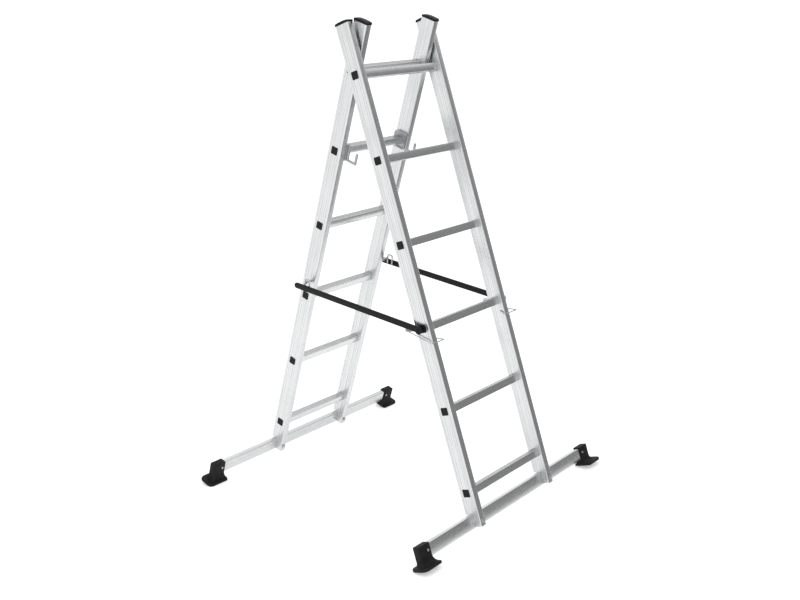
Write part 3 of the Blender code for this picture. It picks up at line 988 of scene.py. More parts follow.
@dataclass
class Rung:
    """A square hollow rung with a ribbed tread on its upper and lower faces."""

    section: SectionFrame
    size: float = 0.026
    wall: float = 0.002
    corner: float = 0.0016
    groove: float = 0.0006
    groove_width: float = 0.0018
    groove_places: tuple[float, ...] = (-0.008, -0.004, 0.0, 0.004, 0.008)

    def build(self) -> list[bpy.types.Object]:
        """Models one rung and copies it up the section.

        Returns:
            The six rungs.
        """
        pattern = self.model()
        section = self.section
        rungs = []
        for index in range(RUNG_COUNT):
            name = "{}_tread_{}".format(section.name, index + 1)
            place = Matrix.Translation((0.0, section.centre, section.rung_z(index)))
            rung = copy_piece(pattern, name, place)
            node = "{}_rung_{}".format(section.name, index + 1)
            rungs.append(settle(rung, section.matrix(), ALUMINIUM, Grain.CROSS, section.body, (node,)))
        bpy.data.objects.remove(pattern, do_unlink=True)
        return rungs

    def model(self) -> bpy.types.Object:
        """Models one rung about its own centre.

        Returns:
            The rung.
        """
        half = self.size / 2.0
        reach = self.section.half_width
        rung = add_box("rung_pattern", (-reach - 0.01, -half, -half), (reach + 0.01, half, half))
        with editing(rung):
            pick_edges(rung, lambda middle, way: abs(way.x) > 0.9)
            bpy.ops.mesh.bevel(offset=self.corner, segments=3, affect="EDGES")
            for place in self.groove_places:
                slice_at((0.0, place - self.groove_width / 2.0, 0.0), (0.0, 1.0, 0.0))
                slice_at((0.0, place + self.groove_width / 2.0, 0.0), (0.0, 1.0, 0.0))
            pick_faces(rung, self.in_groove)
            bpy.ops.mesh.extrude_region_shrink_fatten(TRANSFORM_OT_shrink_fatten={"value": -self.groove})
            slice_at((reach, 0.0, 0.0), (1.0, 0.0, 0.0), True)
            slice_at((-reach, 0.0, 0.0), (-1.0, 0.0, 0.0), True)
        inner = half - self.wall
        cut(rung, add_box("core", (-reach - 0.05, -inner, -inner), (reach + 0.05, inner, inner)))
        return rung

    def in_groove(self, middle: Vector, normal: Vector) -> bool:
        """Tells if a face of the upper or lower side lies in a groove."""
        near = any(abs(middle.y - place) < self.groove_width / 2.0 for place in self.groove_places)
        return abs(normal.z) > 0.9 and near


@dataclass
class RungPlug:
    """A square plug that closes a rung's end: a softly rounded head with a shallow dish, on a stem."""

    section: SectionFrame
    half: float = 0.013
    head: float = 0.0015
    corner: float = 0.003
    stem: float = 0.0105
    stem_length: float = 0.012
    bolt_hole: float = 0.0043

    def build(self) -> list[bpy.types.Object]:
        """Models a plug and copies it to both ends of every rung.

        Returns:
            The twelve plugs.
        """
        patterns = {side: self.model(side) for side in Side}
        section = self.section
        plugs = []
        for index in range(RUNG_COUNT):
            for side, pattern in patterns.items():
                name = "{}_plug_{}_{}".format(section.name, index + 1, side.label)
                place = Matrix.Translation((0.0, section.centre, section.rung_z(index)))
                plug = copy_piece(pattern, name, place)
                nodes = ()
                if section is FRONT:
                    nodes = ("front_rung_plug_{}_{}".format(index + 1, side.label),)
                    if index == STAY_RUNG:
                        self.drill(plug, side, index)
                plugs.append(settle(plug, section.matrix(), PLASTIC, section.grain, section.body, nodes))
        for pattern in patterns.values():
            bpy.data.objects.remove(pattern, do_unlink=True)
        return plugs

    def model(self, side: Side) -> bpy.types.Object:
        """Models a plug about its rung's centre line.

        Args:
            side: the end that it closes.

        Returns:
            The plug.
        """
        face = side.value * (self.section.half_width + FIT)
        outer = face + side.value * self.head
        inner = face - side.value * self.stem_length
        span = sorted((face, outer))
        plug = add_box("plug_pattern", (span[0], -self.half, -self.half), (span[1], self.half, self.half))
        with editing(plug):
            pick_edges(plug, lambda middle, way: abs(way.x) > 0.9)
            bpy.ops.mesh.bevel(offset=self.corner, segments=4, affect="EDGES")
            pick_faces(plug, lambda middle, normal: normal.x * side.value > 0.9)
            bpy.ops.mesh.inset(thickness=0.0016, depth=0.0)
            bpy.ops.mesh.inset(thickness=0.0008, depth=-0.0005)
            pick_faces(plug, lambda middle, normal: normal.x * side.value < -0.9)
            bpy.ops.mesh.inset(thickness=self.half - self.stem, depth=0.0)
            bpy.ops.mesh.extrude_region_move(TRANSFORM_OT_translate={"value": (inner - face, 0.0, 0.0)})
        soften(plug, 0.0004, 2, 50.0)
        return plug

    def drill(self, plug: bpy.types.Object, side: Side, index: int) -> None:
        """Cuts the hole for the stay's bolt.

        Args:
            plug: the plug.
            side: the end that it closes.
            index: its rung.
        """
        section = self.section
        place = Vector((side.value * section.half_width, section.centre, section.rung_z(index)))
        reach = Vector((0.03, 0.0, 0.0))
        cut(plug, add_rod("bolt_hole", place - reach, place + reach, self.bolt_hole))


@dataclass
class TopCap:
    """An arched cap on a rail's top, with a lip that overhangs the rail and a stem inside it."""

    section: SectionFrame
    side: Side
    half_x: float = 0.0135
    half_y: float = 0.030
    edge: float = 0.004
    rise: float = 0.0054
    stem_x: float = 0.0102
    stem_y: float = 0.0267
    stem_length: float = 0.018

    def build(self) -> bpy.types.Object:
        """Models the cap.

        Returns:
            The cap.
        """
        section = self.section
        name = "{}_{}_end_cap".format(section.name, self.side.label)
        middle = section.rail_x(self.side)
        base = section.top + FIT
        top = base + self.edge + 0.002
        cap = add_box(name, (middle - self.half_x, section.centre - self.half_y, base),
                      (middle + self.half_x, section.centre + self.half_y, top))
        places = [self.half_y * math.sin(math.radians(angle)) for angle in range(-75, 76, 15)]
        with editing(cap):
            pick_edges(cap, lambda place, way: abs(way.z) > 0.9)
            bpy.ops.mesh.bevel(offset=0.003, segments=3, affect="EDGES")
            for place in places:
                slice_at((0.0, section.centre + place, 0.0), (0.0, 1.0, 0.0))
            self.raise_arch(cap, top, places)
        soften(cap, 0.0012, 3, 50.0)
        low = (middle - self.stem_x, section.centre - self.stem_y, base - self.stem_length)
        high = (middle + self.stem_x, section.centre + self.stem_y, base + 0.002)
        stem = add_box("stem", low, high)
        soften(stem, 0.001, 1)
        join(cap, stem)
        node = "{}_top_cap_{}".format(section.name, self.side.label)
        return settle(cap, section.matrix(), PLASTIC, section.grain, section.body, (node,))

    def raise_arch(self, cap: bpy.types.Object, top: float, places: Sequence[float]) -> None:
        """Lifts the cap's top, line by line, into an arch.

        Args:
            cap: the cap, in edit mode.
            top: the height of its flat top.
            places: where its cross lines are.
        """
        centre = self.section.centre
        for place in places:
            share = place / self.half_y
            lift = (self.rise - 0.002) * math.sqrt(1.0 - share * share)
            line = centre + place
            pick_points(cap, lambda point: abs(point.y - line) < 0.0002 and point.z > top - 0.0002)
            bpy.ops.transform.translate(value=(0.0, 0.0, lift))


@dataclass
class StabiliserBar:
    """The box tube across a section's foot, with its two bolts."""

    section: SectionFrame
    half_length: float = 0.490
    height: float = 0.044
    depth: float = 0.020
    wall: float = 0.002
    corner: float = 0.0022
    face: float = -0.003
    bolt: float = 0.003
    bolt_head: float = 0.0065

    @property
    def middle(self) -> Vector:
        """The bar's centre in its section's axes."""
        return Vector((0.0, self.section.centre + self.face + self.depth / 2.0, self.section.bar_z()))

    def build(self) -> list[bpy.types.Object]:
        """Models the bar and its bolts.

        Returns:
            The bar and the bolts.
        """
        section = self.section
        half = Vector((self.half_length, self.depth / 2.0, self.height / 2.0))
        bar = add_box("{}_cross_bar".format(section.name), self.middle - half, self.middle + half)
        with editing(bar):
            pick_edges(bar, lambda middle, way: abs(way.x) > 0.9)
            bpy.ops.mesh.bevel(offset=self.corner, segments=4, affect="EDGES")
        inner = half - Vector((-0.05, self.wall, self.wall))
        cut(bar, add_box("core", self.middle - inner, self.middle + inner))
        pieces = []
        for side in Side:
            place = self.middle + Vector((section.rail_x(side), 0.0, 0.0))
            reach = Vector((0.0, 0.03, 0.0))
            cut(bar, add_rod("bolt_hole", place - reach, place + reach, self.bolt + FIT))
            pieces.append(self.build_bolt(side, place))
        node = "{}_stabiliser_bar".format(section.name)
        pieces.append(settle(bar, section.matrix(), ALUMINIUM, Grain.CROSS, section.body, (node,)))
        return pieces

    def build_bolt(self, side: Side, place: Vector) -> bpy.types.Object:
        """Models a bolt through the rail and the bar.

        Args:
            side: its rail.
            place: the middle of the bar there.

        Returns:
            The bolt.
        """
        section = self.section
        head = Vector((place.x, section.centre - RAIL_DEPTH / 2.0 - FIT, place.z))
        nut = Vector((place.x, place.y + self.depth / 2.0 + FIT, place.z))
        name = "{}_{}_bar_screw".format(section.name, side.label)
        bolt = add_hex_bolt(name, head, nut, self.bolt_head, self.bolt, 0.0055)
        node = "{}_bar_bolt_{}".format(section.name, side.label)
        return settle(bolt, section.matrix(), STEEL, section.grain, section.body, (node,))


@dataclass
class Foot:
    """A moulded foot: a sleeve over the bar's end, flared out to a sole that rests on its heel."""

    section: SectionFrame
    side: Side
    bar: StabiliserBar
    sleeve: tuple[float, float] = (0.446, 0.498)
    wall: float = 0.0038
    sole: tuple[float, float] = (0.442, 0.525)
    sole_depth: float = 0.066
    thickness: float = 0.009
    heel: float = 0.474
    dip: float = 0.003
    big_corner: float = 0.020
    small_corner: float = 0.006
    tread_places: tuple[float, ...] = (-0.021, -0.007, 0.007, 0.021)
    tread_half: float = 0.0015
    tread_height: float = 0.0018
    flare: tuple[tuple[float, float, float], ...] = (
        (0.35, 1.02, 1.05), (0.30, 1.08, 1.18), (0.20, 1.12, 1.22), (0.15, 1.12, 1.16))
    screw: float = 0.0042
    screw_x: float = 0.460

    @property
    def sole_place(self) -> Vector:
        """The middle of the sole's underside, in the section's axes."""
        outward = math.copysign(1.0, self.section.centre)
        heel = self.section.matrix().inverted() @ Vector((0.0, outward * self.heel, 0.0))
        return Vector((0.0, heel.y + outward * self.sole_depth / 2.0, heel.z - self.dip))

    def build(self) -> list[bpy.types.Object]:
        """Models the foot and its screw.

        Returns:
            The foot and the screw.
        """
        foot = self.model_sole()
        combine(foot, Boolean.FUSE, self.model_sleeve())
        self.hollow(foot)
        section = self.section
        node = "{}_foot_{}".format(section.name, self.side.label)
        settle(foot, section.matrix(), RUBBER, section.grain, section.body, (node,), 40.0)
        return [foot, self.build_screw()]

    def span(self, low: float, high: float) -> tuple[float, float]:
        """Two places along x on this side, in order."""
        ends = sorted((self.side.value * low, self.side.value * high))
        return ends[0], ends[1]

    def model_sole(self) -> bpy.types.Object:
        """Models the sole plate, with large round corners at its outer end.

        Returns:
            The sole.
        """
        ends = self.span(*self.sole)
        place = self.sole_place
        half = self.sole_depth / 2.0
        name = "{}_{}_boot".format(self.section.name, self.side.label)
        foot = add_box(name, (ends[0], place.y - half, place.z),
                       (ends[1], place.y + half, place.z + self.thickness))
        outer = self.side.value * self.sole[1]
        with editing(foot):
            pick_edges(foot, lambda middle, way: abs(way.z) > 0.9 and abs(middle.x - outer) > 0.05)
            bpy.ops.mesh.bevel(offset=self.small_corner, segments=3, affect="EDGES")
            pick_edges(foot, lambda middle, way: abs(way.z) > 0.9 and abs(middle.x - outer) < 0.001)
            bpy.ops.mesh.bevel(offset=self.big_corner, segments=7, affect="EDGES")
        soften(foot, 0.0022, 3, 50.0)
        return foot

    def model_sleeve(self) -> bpy.types.Object:
        """Models the sleeve, with a flare that grows downwards into the sole.

        Returns:
            The sleeve.
        """
        ends = self.span(*self.sleeve)
        middle = self.bar.middle
        half_y = self.bar.depth / 2.0 + self.wall
        half_z = self.bar.height / 2.0 + self.wall
        bottom = middle.z - half_z + 0.008
        sleeve = add_box("sleeve", (ends[0], middle.y - half_y, bottom),
                         (ends[1], middle.y + half_y, middle.z + half_z))
        drop = bottom - self.sole_place.z - self.thickness * 0.5
        lean = (self.sole_place.y - middle.y) * 0.5
        with editing(sleeve):
            pick_edges(sleeve, lambda place, way: abs(way.z) > 0.9)
            bpy.ops.mesh.bevel(offset=0.003, segments=3, affect="EDGES")
            pick_edges(sleeve, lambda place, way: place.z > middle.z + half_z - 0.0001)
            bpy.ops.mesh.bevel(offset=0.0018, segments=3, affect="EDGES")
            pick_faces(sleeve, lambda place, normal: normal.z < -0.9)
            for share, wider, deeper in self.flare:
                move = (0.0, lean * share, -drop * share)
                bpy.ops.mesh.extrude_region_move(TRANSFORM_OT_translate={"value": move})
                bpy.ops.transform.resize(value=(wider, deeper, 1.0))
        return sleeve

    def hollow(self, foot: bpy.types.Object) -> None:
        """Cuts the socket for the bar, the tread of the sole and the land that it rests on.

        Args:
            foot: the foot.
        """
        ends = self.span(self.sleeve[0] - 0.05, self.bar.half_length + FIT)
        half = Vector((0.0, self.bar.depth / 2.0 + FIT, self.bar.height / 2.0 + FIT))
        middle = self.bar.middle
        cut(foot, add_box("socket", Vector((ends[0], 0, 0)) + middle - half,
                          Vector((ends[1], 0, 0)) + middle + half))
        place = self.sole_place
        ends = self.span(self.sole[0] - 0.01, self.sole[1] + 0.01)
        for offset in self.tread_places:
            groove = place.y + offset
            cut(foot, add_box("tread", (ends[0], groove - self.tread_half, place.z - 0.01),
                              (ends[1], groove + self.tread_half, place.z + self.tread_height)))
        floor = add_box("floor_cut", (-1.0, -1.0, -0.1), (1.0, 1.0, 0.0))
        floor.data.transform(self.section.matrix().inverted())
        cut(foot, floor)

    def build_screw(self) -> bpy.types.Object:
        """Models the pan-head screw on the front of the sleeve.

        Returns:
            The screw.
        """
        face = self.bar.middle.y - self.bar.depth / 2.0 - self.wall
        place = Vector((self.side.value * self.screw_x, face + 0.0002, self.bar.middle.z + 0.004))
        name = "{}_{}_boot_screw".format(self.section.name, self.side.label)
        screw = add_rod(name, place, place - Vector((0.0, 0.0016, 0.0)), self.screw, 32)
        soften(screw, 0.0007, 3)
        for long_side in (0, 2):
            size = Vector((0.0005, 0.0008, 0.0005))
            size[long_side] = self.screw * 0.55
            middle = place - Vector((0.0, 0.0016, 0.0))
            cut(screw, add_box("recess", middle - size, middle + size))
        return settle(screw, self.section.matrix(), STEEL, self.section.grain, self.section.body)


class LadderSection:
    """One whole ladder section: rails, rungs, plugs, caps, bar and feet."""

    def __init__(self, section: SectionFrame) -> None:
        """Keeps the section's axes and sizes.

        Args:
            section: the section's frame.
        """
        self.section = section
        self.bar = StabiliserBar(section)

    def build(self) -> int:
        """Builds every part of the section.

        Returns:
            How many pieces it has.
        """
        pieces = [Rail(self.section, side).build() for side in Side]
        pieces += Rung(self.section).build()
        pieces += RungPlug(self.section).build()
        pieces += [TopCap(self.section, side).build() for side in Side]
        pieces += self.bar.build()
        for side in Side:
            pieces += Foot(self.section, side, self.bar).build()
        return len(pieces)


@dataclass
class Stay:
    """A flat black stay, with its pivot bolt at the front and the wire arch at its rear end."""

    side: Side
    rise: float = math.radians(6.3)
    inner: float = 0.2265
    thickness: float = 0.008
    width: float = 0.020
    length: float = 0.562
    wire: float = 0.003
    wire_x: float = 0.2229
    arch_y: float = 0.231
    arch_half: float = 0.011
    arch_height: float = 0.021

    @property
    def pivot(self) -> Vector:
        """The stay's pivot in the ladder's frame."""
        return FRONT.matrix() @ Vector((0.0, FRONT.centre, FRONT.rung_z(STAY_RUNG)))

    def matrix(self) -> Matrix:
        """The stay's axes, with y along it, in the ladder's frame."""
        return Matrix.Translation(self.pivot) @ Matrix.Rotation(self.rise, 4, "X")

    def build(self) -> list[bpy.types.Object]:
        """Models the stay, its arch and its bolt.

        Returns:
            The three pieces.
        """
        return [self.build_bar(), self.build_arch(), self.build_bolt()]

    def build_bar(self) -> bpy.types.Object:
        """Models the bar with round ends and its bolt hole.

        Returns:
            The bar.
        """
        half = self.width / 2.0
        ends = sorted((self.side.value * self.inner, self.side.value * (self.inner + self.thickness)))
        name = "{}_brace".format(self.side.label)
        bar = add_box(name, (ends[0], -half, -half), (ends[1], self.length + half, half))
        with editing(bar):
            pick_edges(bar, lambda middle, way: abs(way.x) > 0.9)
            bpy.ops.mesh.bevel(offset=half * 0.995, segments=10, affect="EDGES")
        soften(bar, 0.0012, 3, 50.0)
        reach = Vector((0.04, 0.0, 0.0))
        centre = Vector((self.side.value * self.inner, 0.0, 0.0))
        cut(bar, add_rod("hole", centre - reach, centre + reach, 0.0043))
        node = "stay_{}".format(self.side.label)
        return settle(bar, self.matrix(), COAT, Grain.CROSS, node, (node,), 40.0)

    def build_arch(self) -> bpy.types.Object:
        """Models the wire arch that drops over the peg.

        Returns:
            The arch.
        """
        along = (self.arch_y - self.pivot.y) / math.cos(self.rise)
        wire_x = self.side.value * self.wire_x
        top = self.width / 2.0 + self.arch_height
        foot = -self.width / 2.0 + 0.004
        points = [(wire_x, along - self.arch_half, foot), (wire_x, along - self.arch_half, top),
                  (wire_x, along + self.arch_half, top), (wire_x, along + self.arch_half, foot)]
        arch = add_wire("{}_brace_arch".format(self.side.label), points, self.wire, 0.0095)
        body = "stay_{}".format(self.side.label)
        node = "stay_hook_{}".format(self.side.label)
        return settle(arch, self.matrix(), STEEL, Grain.CROSS, body, (node,), 50.0)

    def build_bolt(self) -> bpy.types.Object:
        """Models the shouldered bolt through the fourth rung's plug.

        Returns:
            The bolt.
        """
        way = Vector((self.side.value, 0.0, 0.0))
        centre = Vector((0.0, FRONT.centre, FRONT.rung_z(STAY_RUNG)))
        outer = self.inner + self.thickness + FIT
        shank = add_rod("{}_brace_bolt".format(self.side.label), centre + way * 0.199,
                        centre + way * (outer + 0.001), 0.004)
        bush = add_rod("bush", centre + way * 0.2171, centre + way * (self.inner - FIT), 0.007)
        head = add_rod("head", centre + way * outer, centre + way * (outer + 0.003), 0.0075)
        soften(bush, 0.0004, 1)
        with editing(head):
            pick_faces(head, lambda middle, normal: normal.x * self.side.value > 0.9)
            bpy.ops.mesh.bevel(offset=0.0018, segments=4, affect="EDGES")
            pick_faces(head, lambda middle, normal: normal.x * self.side.value > 0.98)
            bpy.ops.mesh.inset(thickness=0.0016, depth=0.0)
            bpy.ops.mesh.inset(thickness=0.0003, depth=-0.0008)
        join(shank, bush, head)
        node = "stay_bolt_{}".format(self.side.label)
        return settle(shank, FRONT.matrix(), COAT, Grain.CROSS, FRONT.body, (node,), 40.0)


@dataclass
class StayPeg:
    """A collared peg on a rear rail, inside the arch of the stay."""

    side: Side
    place: tuple[float, float] = (0.240, 0.7455)
    radius: float = 0.005
    collar: float = 0.008
    end: float = 0.2192

    def build(self) -> bpy.types.Object:
        """Models the peg.

        Returns:
            The peg.
        """
        local = REAR.matrix().inverted() @ Vector((0.0, *self.place))
        way = Vector((self.side.value, 0.0, 0.0))
        face = REAR.half_width + FIT
        peg = add_rod("{}_brace_peg".format(self.side.label), local + way * (face + 0.001),
                      local + way * self.end, self.radius)
        with editing(peg):
            pick_faces(peg, lambda middle, normal: normal.x * self.side.value > 0.9)
            bpy.ops.mesh.bevel(offset=0.001, segments=3, affect="EDGES")
        collar = add_rod("collar", local + way * face, local + way * (face + 0.002), self.collar)
        soften(collar, 0.0005, 2)
        join(peg, collar)
        node = "stay_peg_{}".format(self.side.label)
        return settle(peg, REAR.matrix(), STEEL, Grain.CROSS, REAR.body, (node,), 40.0)


@dataclass
class WireLock:
    """A bent wire that hangs behind a front rail and crosses its front, with the plate that it turns in."""

    side: Side
    tab: TabPlace
    wire: float = 0.002
    leg_x: float = 0.2225
    rail_inner: float = 0.1875
    pivot: tuple[float, float] = (0.066, 0.834)
    front: tuple[float, float] = (-0.0318, 0.892)
    back: tuple[float, float] = (-0.012, 0.877)
    tip_inside: float = 0.161
    tip_outside: float = 0.2555
    plate: float = 0.003
    plate_half: float = 0.008

    def point(self, x: float, place: tuple[float, float]) -> Point:
        """A corner of the wire from its x, and its depth and distance below the first rung."""
        return (self.side.value * x, FRONT.centre + place[0], FRONT.rung_z(0) - place[1])

    def build(self) -> list[bpy.types.Object]:
        """Models the wire and its plate.

        Returns:
            The two pieces.
        """
        label = self.side.label
        points = [self.point(FRONT.half_width + FIT, self.pivot), self.point(self.leg_x, self.pivot)]
        if self.tab is TabPlace.INSIDE:
            points += [self.point(self.leg_x, self.front), self.point(self.tip_inside, self.front),
                       self.point(self.rail_inner, self.back)]
        else:
            points += [self.point(self.leg_x, self.back), self.point(self.tip_outside, self.front),
                       self.point(self.rail_inner - 0.004, self.front),
                       self.point(self.rail_inner, self.back)]
        wire = add_wire("{}_spring_wire".format(label), points, self.wire, 0.005)
        body = "wire_lock_{}".format(label)
        settle(wire, FRONT.matrix(), STEEL, Grain.CROSS, body, (body,), 50.0)
        return [wire, self.build_plate()]

    def build_plate(self) -> bpy.types.Object:
        """Models the plate with its round end, its hole and two rivets.

        Returns:
            The plate.
        """
        label = self.side.label
        low = self.side.value * (FRONT.half_width + FIT)
        high = self.side.value * (FRONT.half_width + FIT + self.plate)
        ends = sorted((low, high))
        near = FRONT.centre + 0.017
        far = FRONT.centre + self.pivot[0]
        middle = FRONT.rung_z(0) - self.pivot[1]
        plate = add_box("{}_wire_plate".format(label), (ends[0], near, middle - self.plate_half),
                        (ends[1], far + self.plate_half, middle + self.plate_half))
        with editing(plate):
            pick_edges(plate, lambda place, way: abs(way.x) > 0.9 and place.y > far)
            bpy.ops.mesh.bevel(offset=self.plate_half * 0.99, segments=8, affect="EDGES")
        soften(plate, 0.0005, 2, 50.0)
        centre = Vector((low, far, middle))
        reach = Vector((0.02, 0.0, 0.0))
        cut(plate, add_rod("hole", centre - reach, centre + reach, self.wire + FIT))
        rivets = []
        for offset in (-0.0042, 0.0042):
            place = Vector((high, near + 0.0055, middle + offset))
            tip = place + Vector((self.side.value * 0.0011, 0.0, 0.0))
            rivet = add_rod("rivet", place, tip, 0.0025, 24)
            soften(rivet, 0.0006, 3)
            rivets.append(rivet)
        join(plate, *rivets)
        node = "wire_lock_plate_{}".format(label)
        return settle(plate, FRONT.matrix(), STEEL, Grain.CROSS, FRONT.body, (node,), 40.0)


@dataclass
class RungHook:
    """A cast bracket round the rear section's second rung, with the bent strip hook in front of it."""

    side: Side
    thickness: float = 0.012
    front: float = 0.033
    back: float = 0.024
    half_height: float = 0.030
    flange: float = 0.0045
    waist: float = 0.0055
    rung_hole: float = RUNG_HOLE
    strip: float = 0.0080
    strip_x: tuple[float, float] = (0.002, 0.010)
    strip_top: float = 0.026
    hook_front: float = 0.078
    hook_reach: float = 0.037
    hook_low: float = 0.027
    hook_tip: float = 0.0135

    def point(self, inward: float, depth: float, rise: float) -> Vector:
        """A place from the rail's inner wall, the rail's middle and the rung's middle."""
        wall = REAR.half_width - RAIL_WIDTH - FIT
        return Vector((self.side.value * (wall - inward), REAR.centre - depth, REAR.rung_z(1) + rise))

    def box(self, name: str, inward: tuple[float, float], depth: tuple[float, float],
            rise: tuple[float, float]) -> bpy.types.Object:
        """Adds a box from its spans.

        Args:
            name: the piece's name.
            inward: its span from the rail's inner wall.
            depth: its span in front of the rail's middle.
            rise: its span above the rung's middle.

        Returns:
            The box.
        """
        first = self.point(inward[0], depth[0], rise[0])
        second = self.point(inward[1], depth[1], rise[1])
        low = Vector([min(pair) for pair in zip(first, second)])
        high = Vector([max(pair) for pair in zip(first, second)])
        return add_box(name, low, high)

    def build(self) -> list[bpy.types.Object]:
        """Models the bracket and the hook.

        Returns:
            Both pieces.
        """
        return [self.build_bracket(), self.build_strip()]

    def build_bracket(self) -> bpy.types.Object:
        """Models the bracket: a waisted body between an upper and a lower flange.

        Returns:
            The bracket.
        """
        body = "{}_rung_bracket".format(self.side.label)
        bracket = self.box(body, (0.0, self.thickness), (-self.back, self.front),
                           (-self.half_height, self.half_height))
        centre = self.point(0.0, 0.0, 0.0)
        with editing(bracket):
            pick_edges(bracket, lambda middle, way: abs(way.x) > 0.9)
            bpy.ops.mesh.bevel(offset=0.009, segments=5, affect="EDGES")
            for edge in (self.half_height - self.flange, self.flange - self.half_height):
                slice_at((0.0, 0.0, centre.z + edge), (0.0, 0.0, 1.0))
            pick_faces(bracket, lambda middle, normal: self.inner_waist(middle - centre, normal))
            move = (self.side.value * self.waist, 0.0, 0.0)
            bpy.ops.mesh.extrude_region_move(TRANSFORM_OT_translate={"value": move})
            bpy.ops.transform.resize(value=(1.0, 0.72, 0.90))
        soften(bracket, 0.0012, 3, 35.0)
        half = self.rung_hole
        cut(bracket, self.box("rung_hole", (-0.02, 0.04), (-half, half), (-half, half)))
        node = "rung_hook_{}".format(self.side.label)
        return settle(bracket, REAR.matrix(), CAST, Grain.CROSS, REAR.body, (node,), 40.0)

    def inner_waist(self, offset: Vector, normal: Vector) -> bool:
        """Tells if a face is on the bracket's inner side, between its flanges."""
        return normal.x * self.side.value < -0.9 and abs(offset.z) < self.half_height - self.flange

    def build_strip(self) -> bpy.types.Object:
        """Models the hook: a strip bent down, forwards and up again.

        Returns:
            The hook.
        """
        name = "{}_rung_catch".format(self.side.label)
        back = self.hook_front - self.hook_reach
        strip = self.box(name, self.strip_x, (back - self.strip, back), (-self.hook_low, self.strip_top))
        low = self.point(0.0, 0.0, self.strip - self.hook_low)
        tip = self.point(0.0, self.hook_front - self.strip, 0.0)
        with editing(strip):
            slice_at(low, (0.0, 0.0, 1.0))
            pick_faces(strip, lambda middle, normal: normal.y < -0.9 and middle.z < low.z)
            for reach in (self.hook_reach - self.strip, self.strip):
                bpy.ops.mesh.extrude_region_move(TRANSFORM_OT_translate={"value": (0.0, -reach, 0.0)})
            pick_faces(strip, lambda middle, normal: normal.z > 0.9 and middle.y < tip.y
                       and middle.z < low.z + 0.001)
            rise = self.hook_low + self.hook_tip - self.strip
            bpy.ops.mesh.extrude_region_move(TRANSFORM_OT_translate={"value": (0.0, 0.0, rise)})
        soften(strip, 0.0026, 4, 50.0)
        return settle(strip, REAR.matrix(), CAST, Grain.CROSS, REAR.body)


def dress_kept_nodes() -> None:
    """Gives the solids that stay as they are a finish that suits them."""
    for side in Side:
        node = "hinge_pin_{}".format(side.label)
        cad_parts[node].material_slots[0].material = PALETTE.material(STEEL, Grain.CROSS)


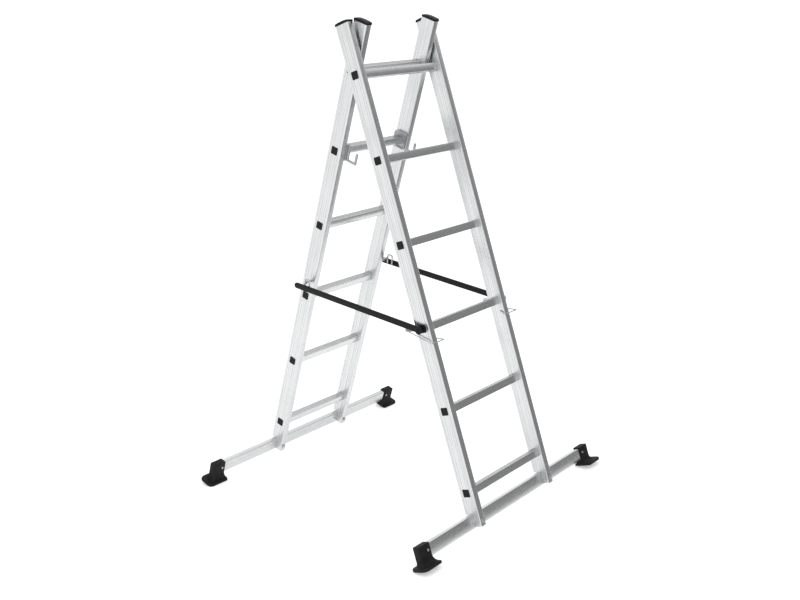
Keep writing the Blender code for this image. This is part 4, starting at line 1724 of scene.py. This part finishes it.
@dataclass
class Studio:
    """The pale floor, the soft lights and the camera."""

    floor_half: float = 400.0
    camera_place: Point = (-2.7410, -2.3632, 1.7165)
    yaw: float = 0.8609
    pitch: float = -0.2813
    roll: float = -0.0241
    lens: float = 47.676
    floor_glow: float = 0.34
    flag_glow: float = 0.25
    flag_low: Point = (-0.40, -1.75, 0.003)
    flag_high: Point = (4.40, -0.64, 2.75)

    def build(self) -> None:
        """Sets up the floor, the lights, the sky and the camera."""
        self.build_floor()
        self.build_flag()
        self.build_sky()
        self.add_light("left_soft", (-3.6, 1.4, 2.8), 2.6, 5.0)
        self.add_light("top_soft", (0.3, 0.4, 4.6), 3.2, 12.0)
        self.add_light("rear_soft", (2.4, 3.6, 2.6), 2.4, 10.0)
        self.build_camera()

    def build_floor(self) -> None:
        """Lays the floor."""
        bpy.ops.object.select_all(action="DESELECT")
        bpy.ops.mesh.primitive_plane_add(size=self.floor_half * 2.0, location=(0.0, 0.0, 0.0))
        floor = bpy.context.object
        floor.name = "studio_floor"
        graph = Graph("pale_floor")
        graph.feed_shader(Base_Color=(0.90, 0.90, 0.90, 1.0), Roughness=0.9, Emission_Color=WHITE,
                          Emission_Strength=self.floor_glow)
        floor.data.materials.append(graph.material)

    def build_flag(self) -> None:
        """Stands a dark folded card at the ladder's front right, which only shows in reflections."""
        low, high = self.flag_low, self.flag_high
        flag = add_box("studio_flag", low, high)
        with editing(flag):
            pick_faces(flag, lambda middle, normal: not (normal.y < -0.9 or normal.z < -0.9))
            bpy.ops.mesh.delete(type="FACE")
        graph = Graph("dark_card")
        graph.feed_shader(Base_Color=(0.02, 0.02, 0.02, 1.0), Roughness=0.9, Emission_Color=WHITE,
                          Emission_Strength=self.flag_glow)
        flag.data.materials.append(graph.material)
        flag.visible_camera = False
        flag.visible_diffuse = False
        flag.visible_shadow = False

    def build_sky(self) -> None:
        """Makes the world white."""
        world = bpy.data.worlds.new("studio_sky")
        bpy.context.scene.world = world
        world.use_nodes = True
        world.node_tree.nodes["Background"].inputs["Color"].default_value = WHITE

    def add_light(self, name: str, place: Point, size: float, power: float) -> None:
        """Hangs a square soft light that points at the ladder's middle.

        Args:
            name: the light's name.
            place: its centre.
            size: its side.
            power: its power in watts.
        """
        light = bpy.data.lights.new(name, "AREA")
        light.size = size
        light.energy = power
        item = bpy.data.objects.new(name, light)
        item.location = place
        item.rotation_euler = (Vector((0.0, 0.0, 0.8)) - Vector(place)).to_track_quat("-Z", "Y").to_euler()
        bpy.context.scene.collection.objects.link(item)

    def build_camera(self) -> None:
        """Stands the camera at the ladder's left front."""
        flat = math.cos(self.pitch)
        forward = Vector((math.sin(self.yaw) * flat, math.cos(self.yaw) * flat, math.sin(self.pitch)))
        flat_right = forward.cross(Vector((0.0, 0.0, 1.0))).normalized()
        flat_up = flat_right.cross(forward)
        right = flat_right * math.cos(self.roll) + flat_up * math.sin(self.roll)
        up = flat_up * math.cos(self.roll) - flat_right * math.sin(self.roll)
        data = bpy.data.cameras.new("view")
        data.lens = self.lens
        data.sensor_width = 36.0
        data.clip_end = 2000.0
        camera = bpy.data.objects.new("view", data)
        turn = Matrix((right, up, -forward)).transposed().to_4x4()
        camera.matrix_world = Matrix.Translation(self.camera_place) @ turn
        bpy.context.scene.collection.objects.link(camera)
        bpy.context.scene.camera = camera


def main() -> None:
    """Builds the ladder and its studio."""
    logging.basicConfig(level=logging.INFO, format="%(message)s")
    bpy.context.scene.view_settings.view_transform = "Standard"
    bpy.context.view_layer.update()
    Studio().build()
    for section in (FRONT, REAR):
        LOG.info("%s section: %d pieces", section.name, LadderSection(section).build())
    for side in Side:
        LOG.info("%s stay: %d pieces", side.label, len(Stay(side).build()))
        LOG.info("%s peg: %s", side.label, StayPeg(side).build().name)
        LOG.info("%s rung hook: %d pieces", side.label, len(RungHook(side).build()))
    for side, tab in ((Side.LEFT, TabPlace.INSIDE), (Side.RIGHT, TabPlace.OUTSIDE)):
        LOG.info("%s wire lock: %d pieces", side.label, len(WireLock(side, tab).build()))
    dress_kept_nodes()


if __name__ == "__main__":
    main()
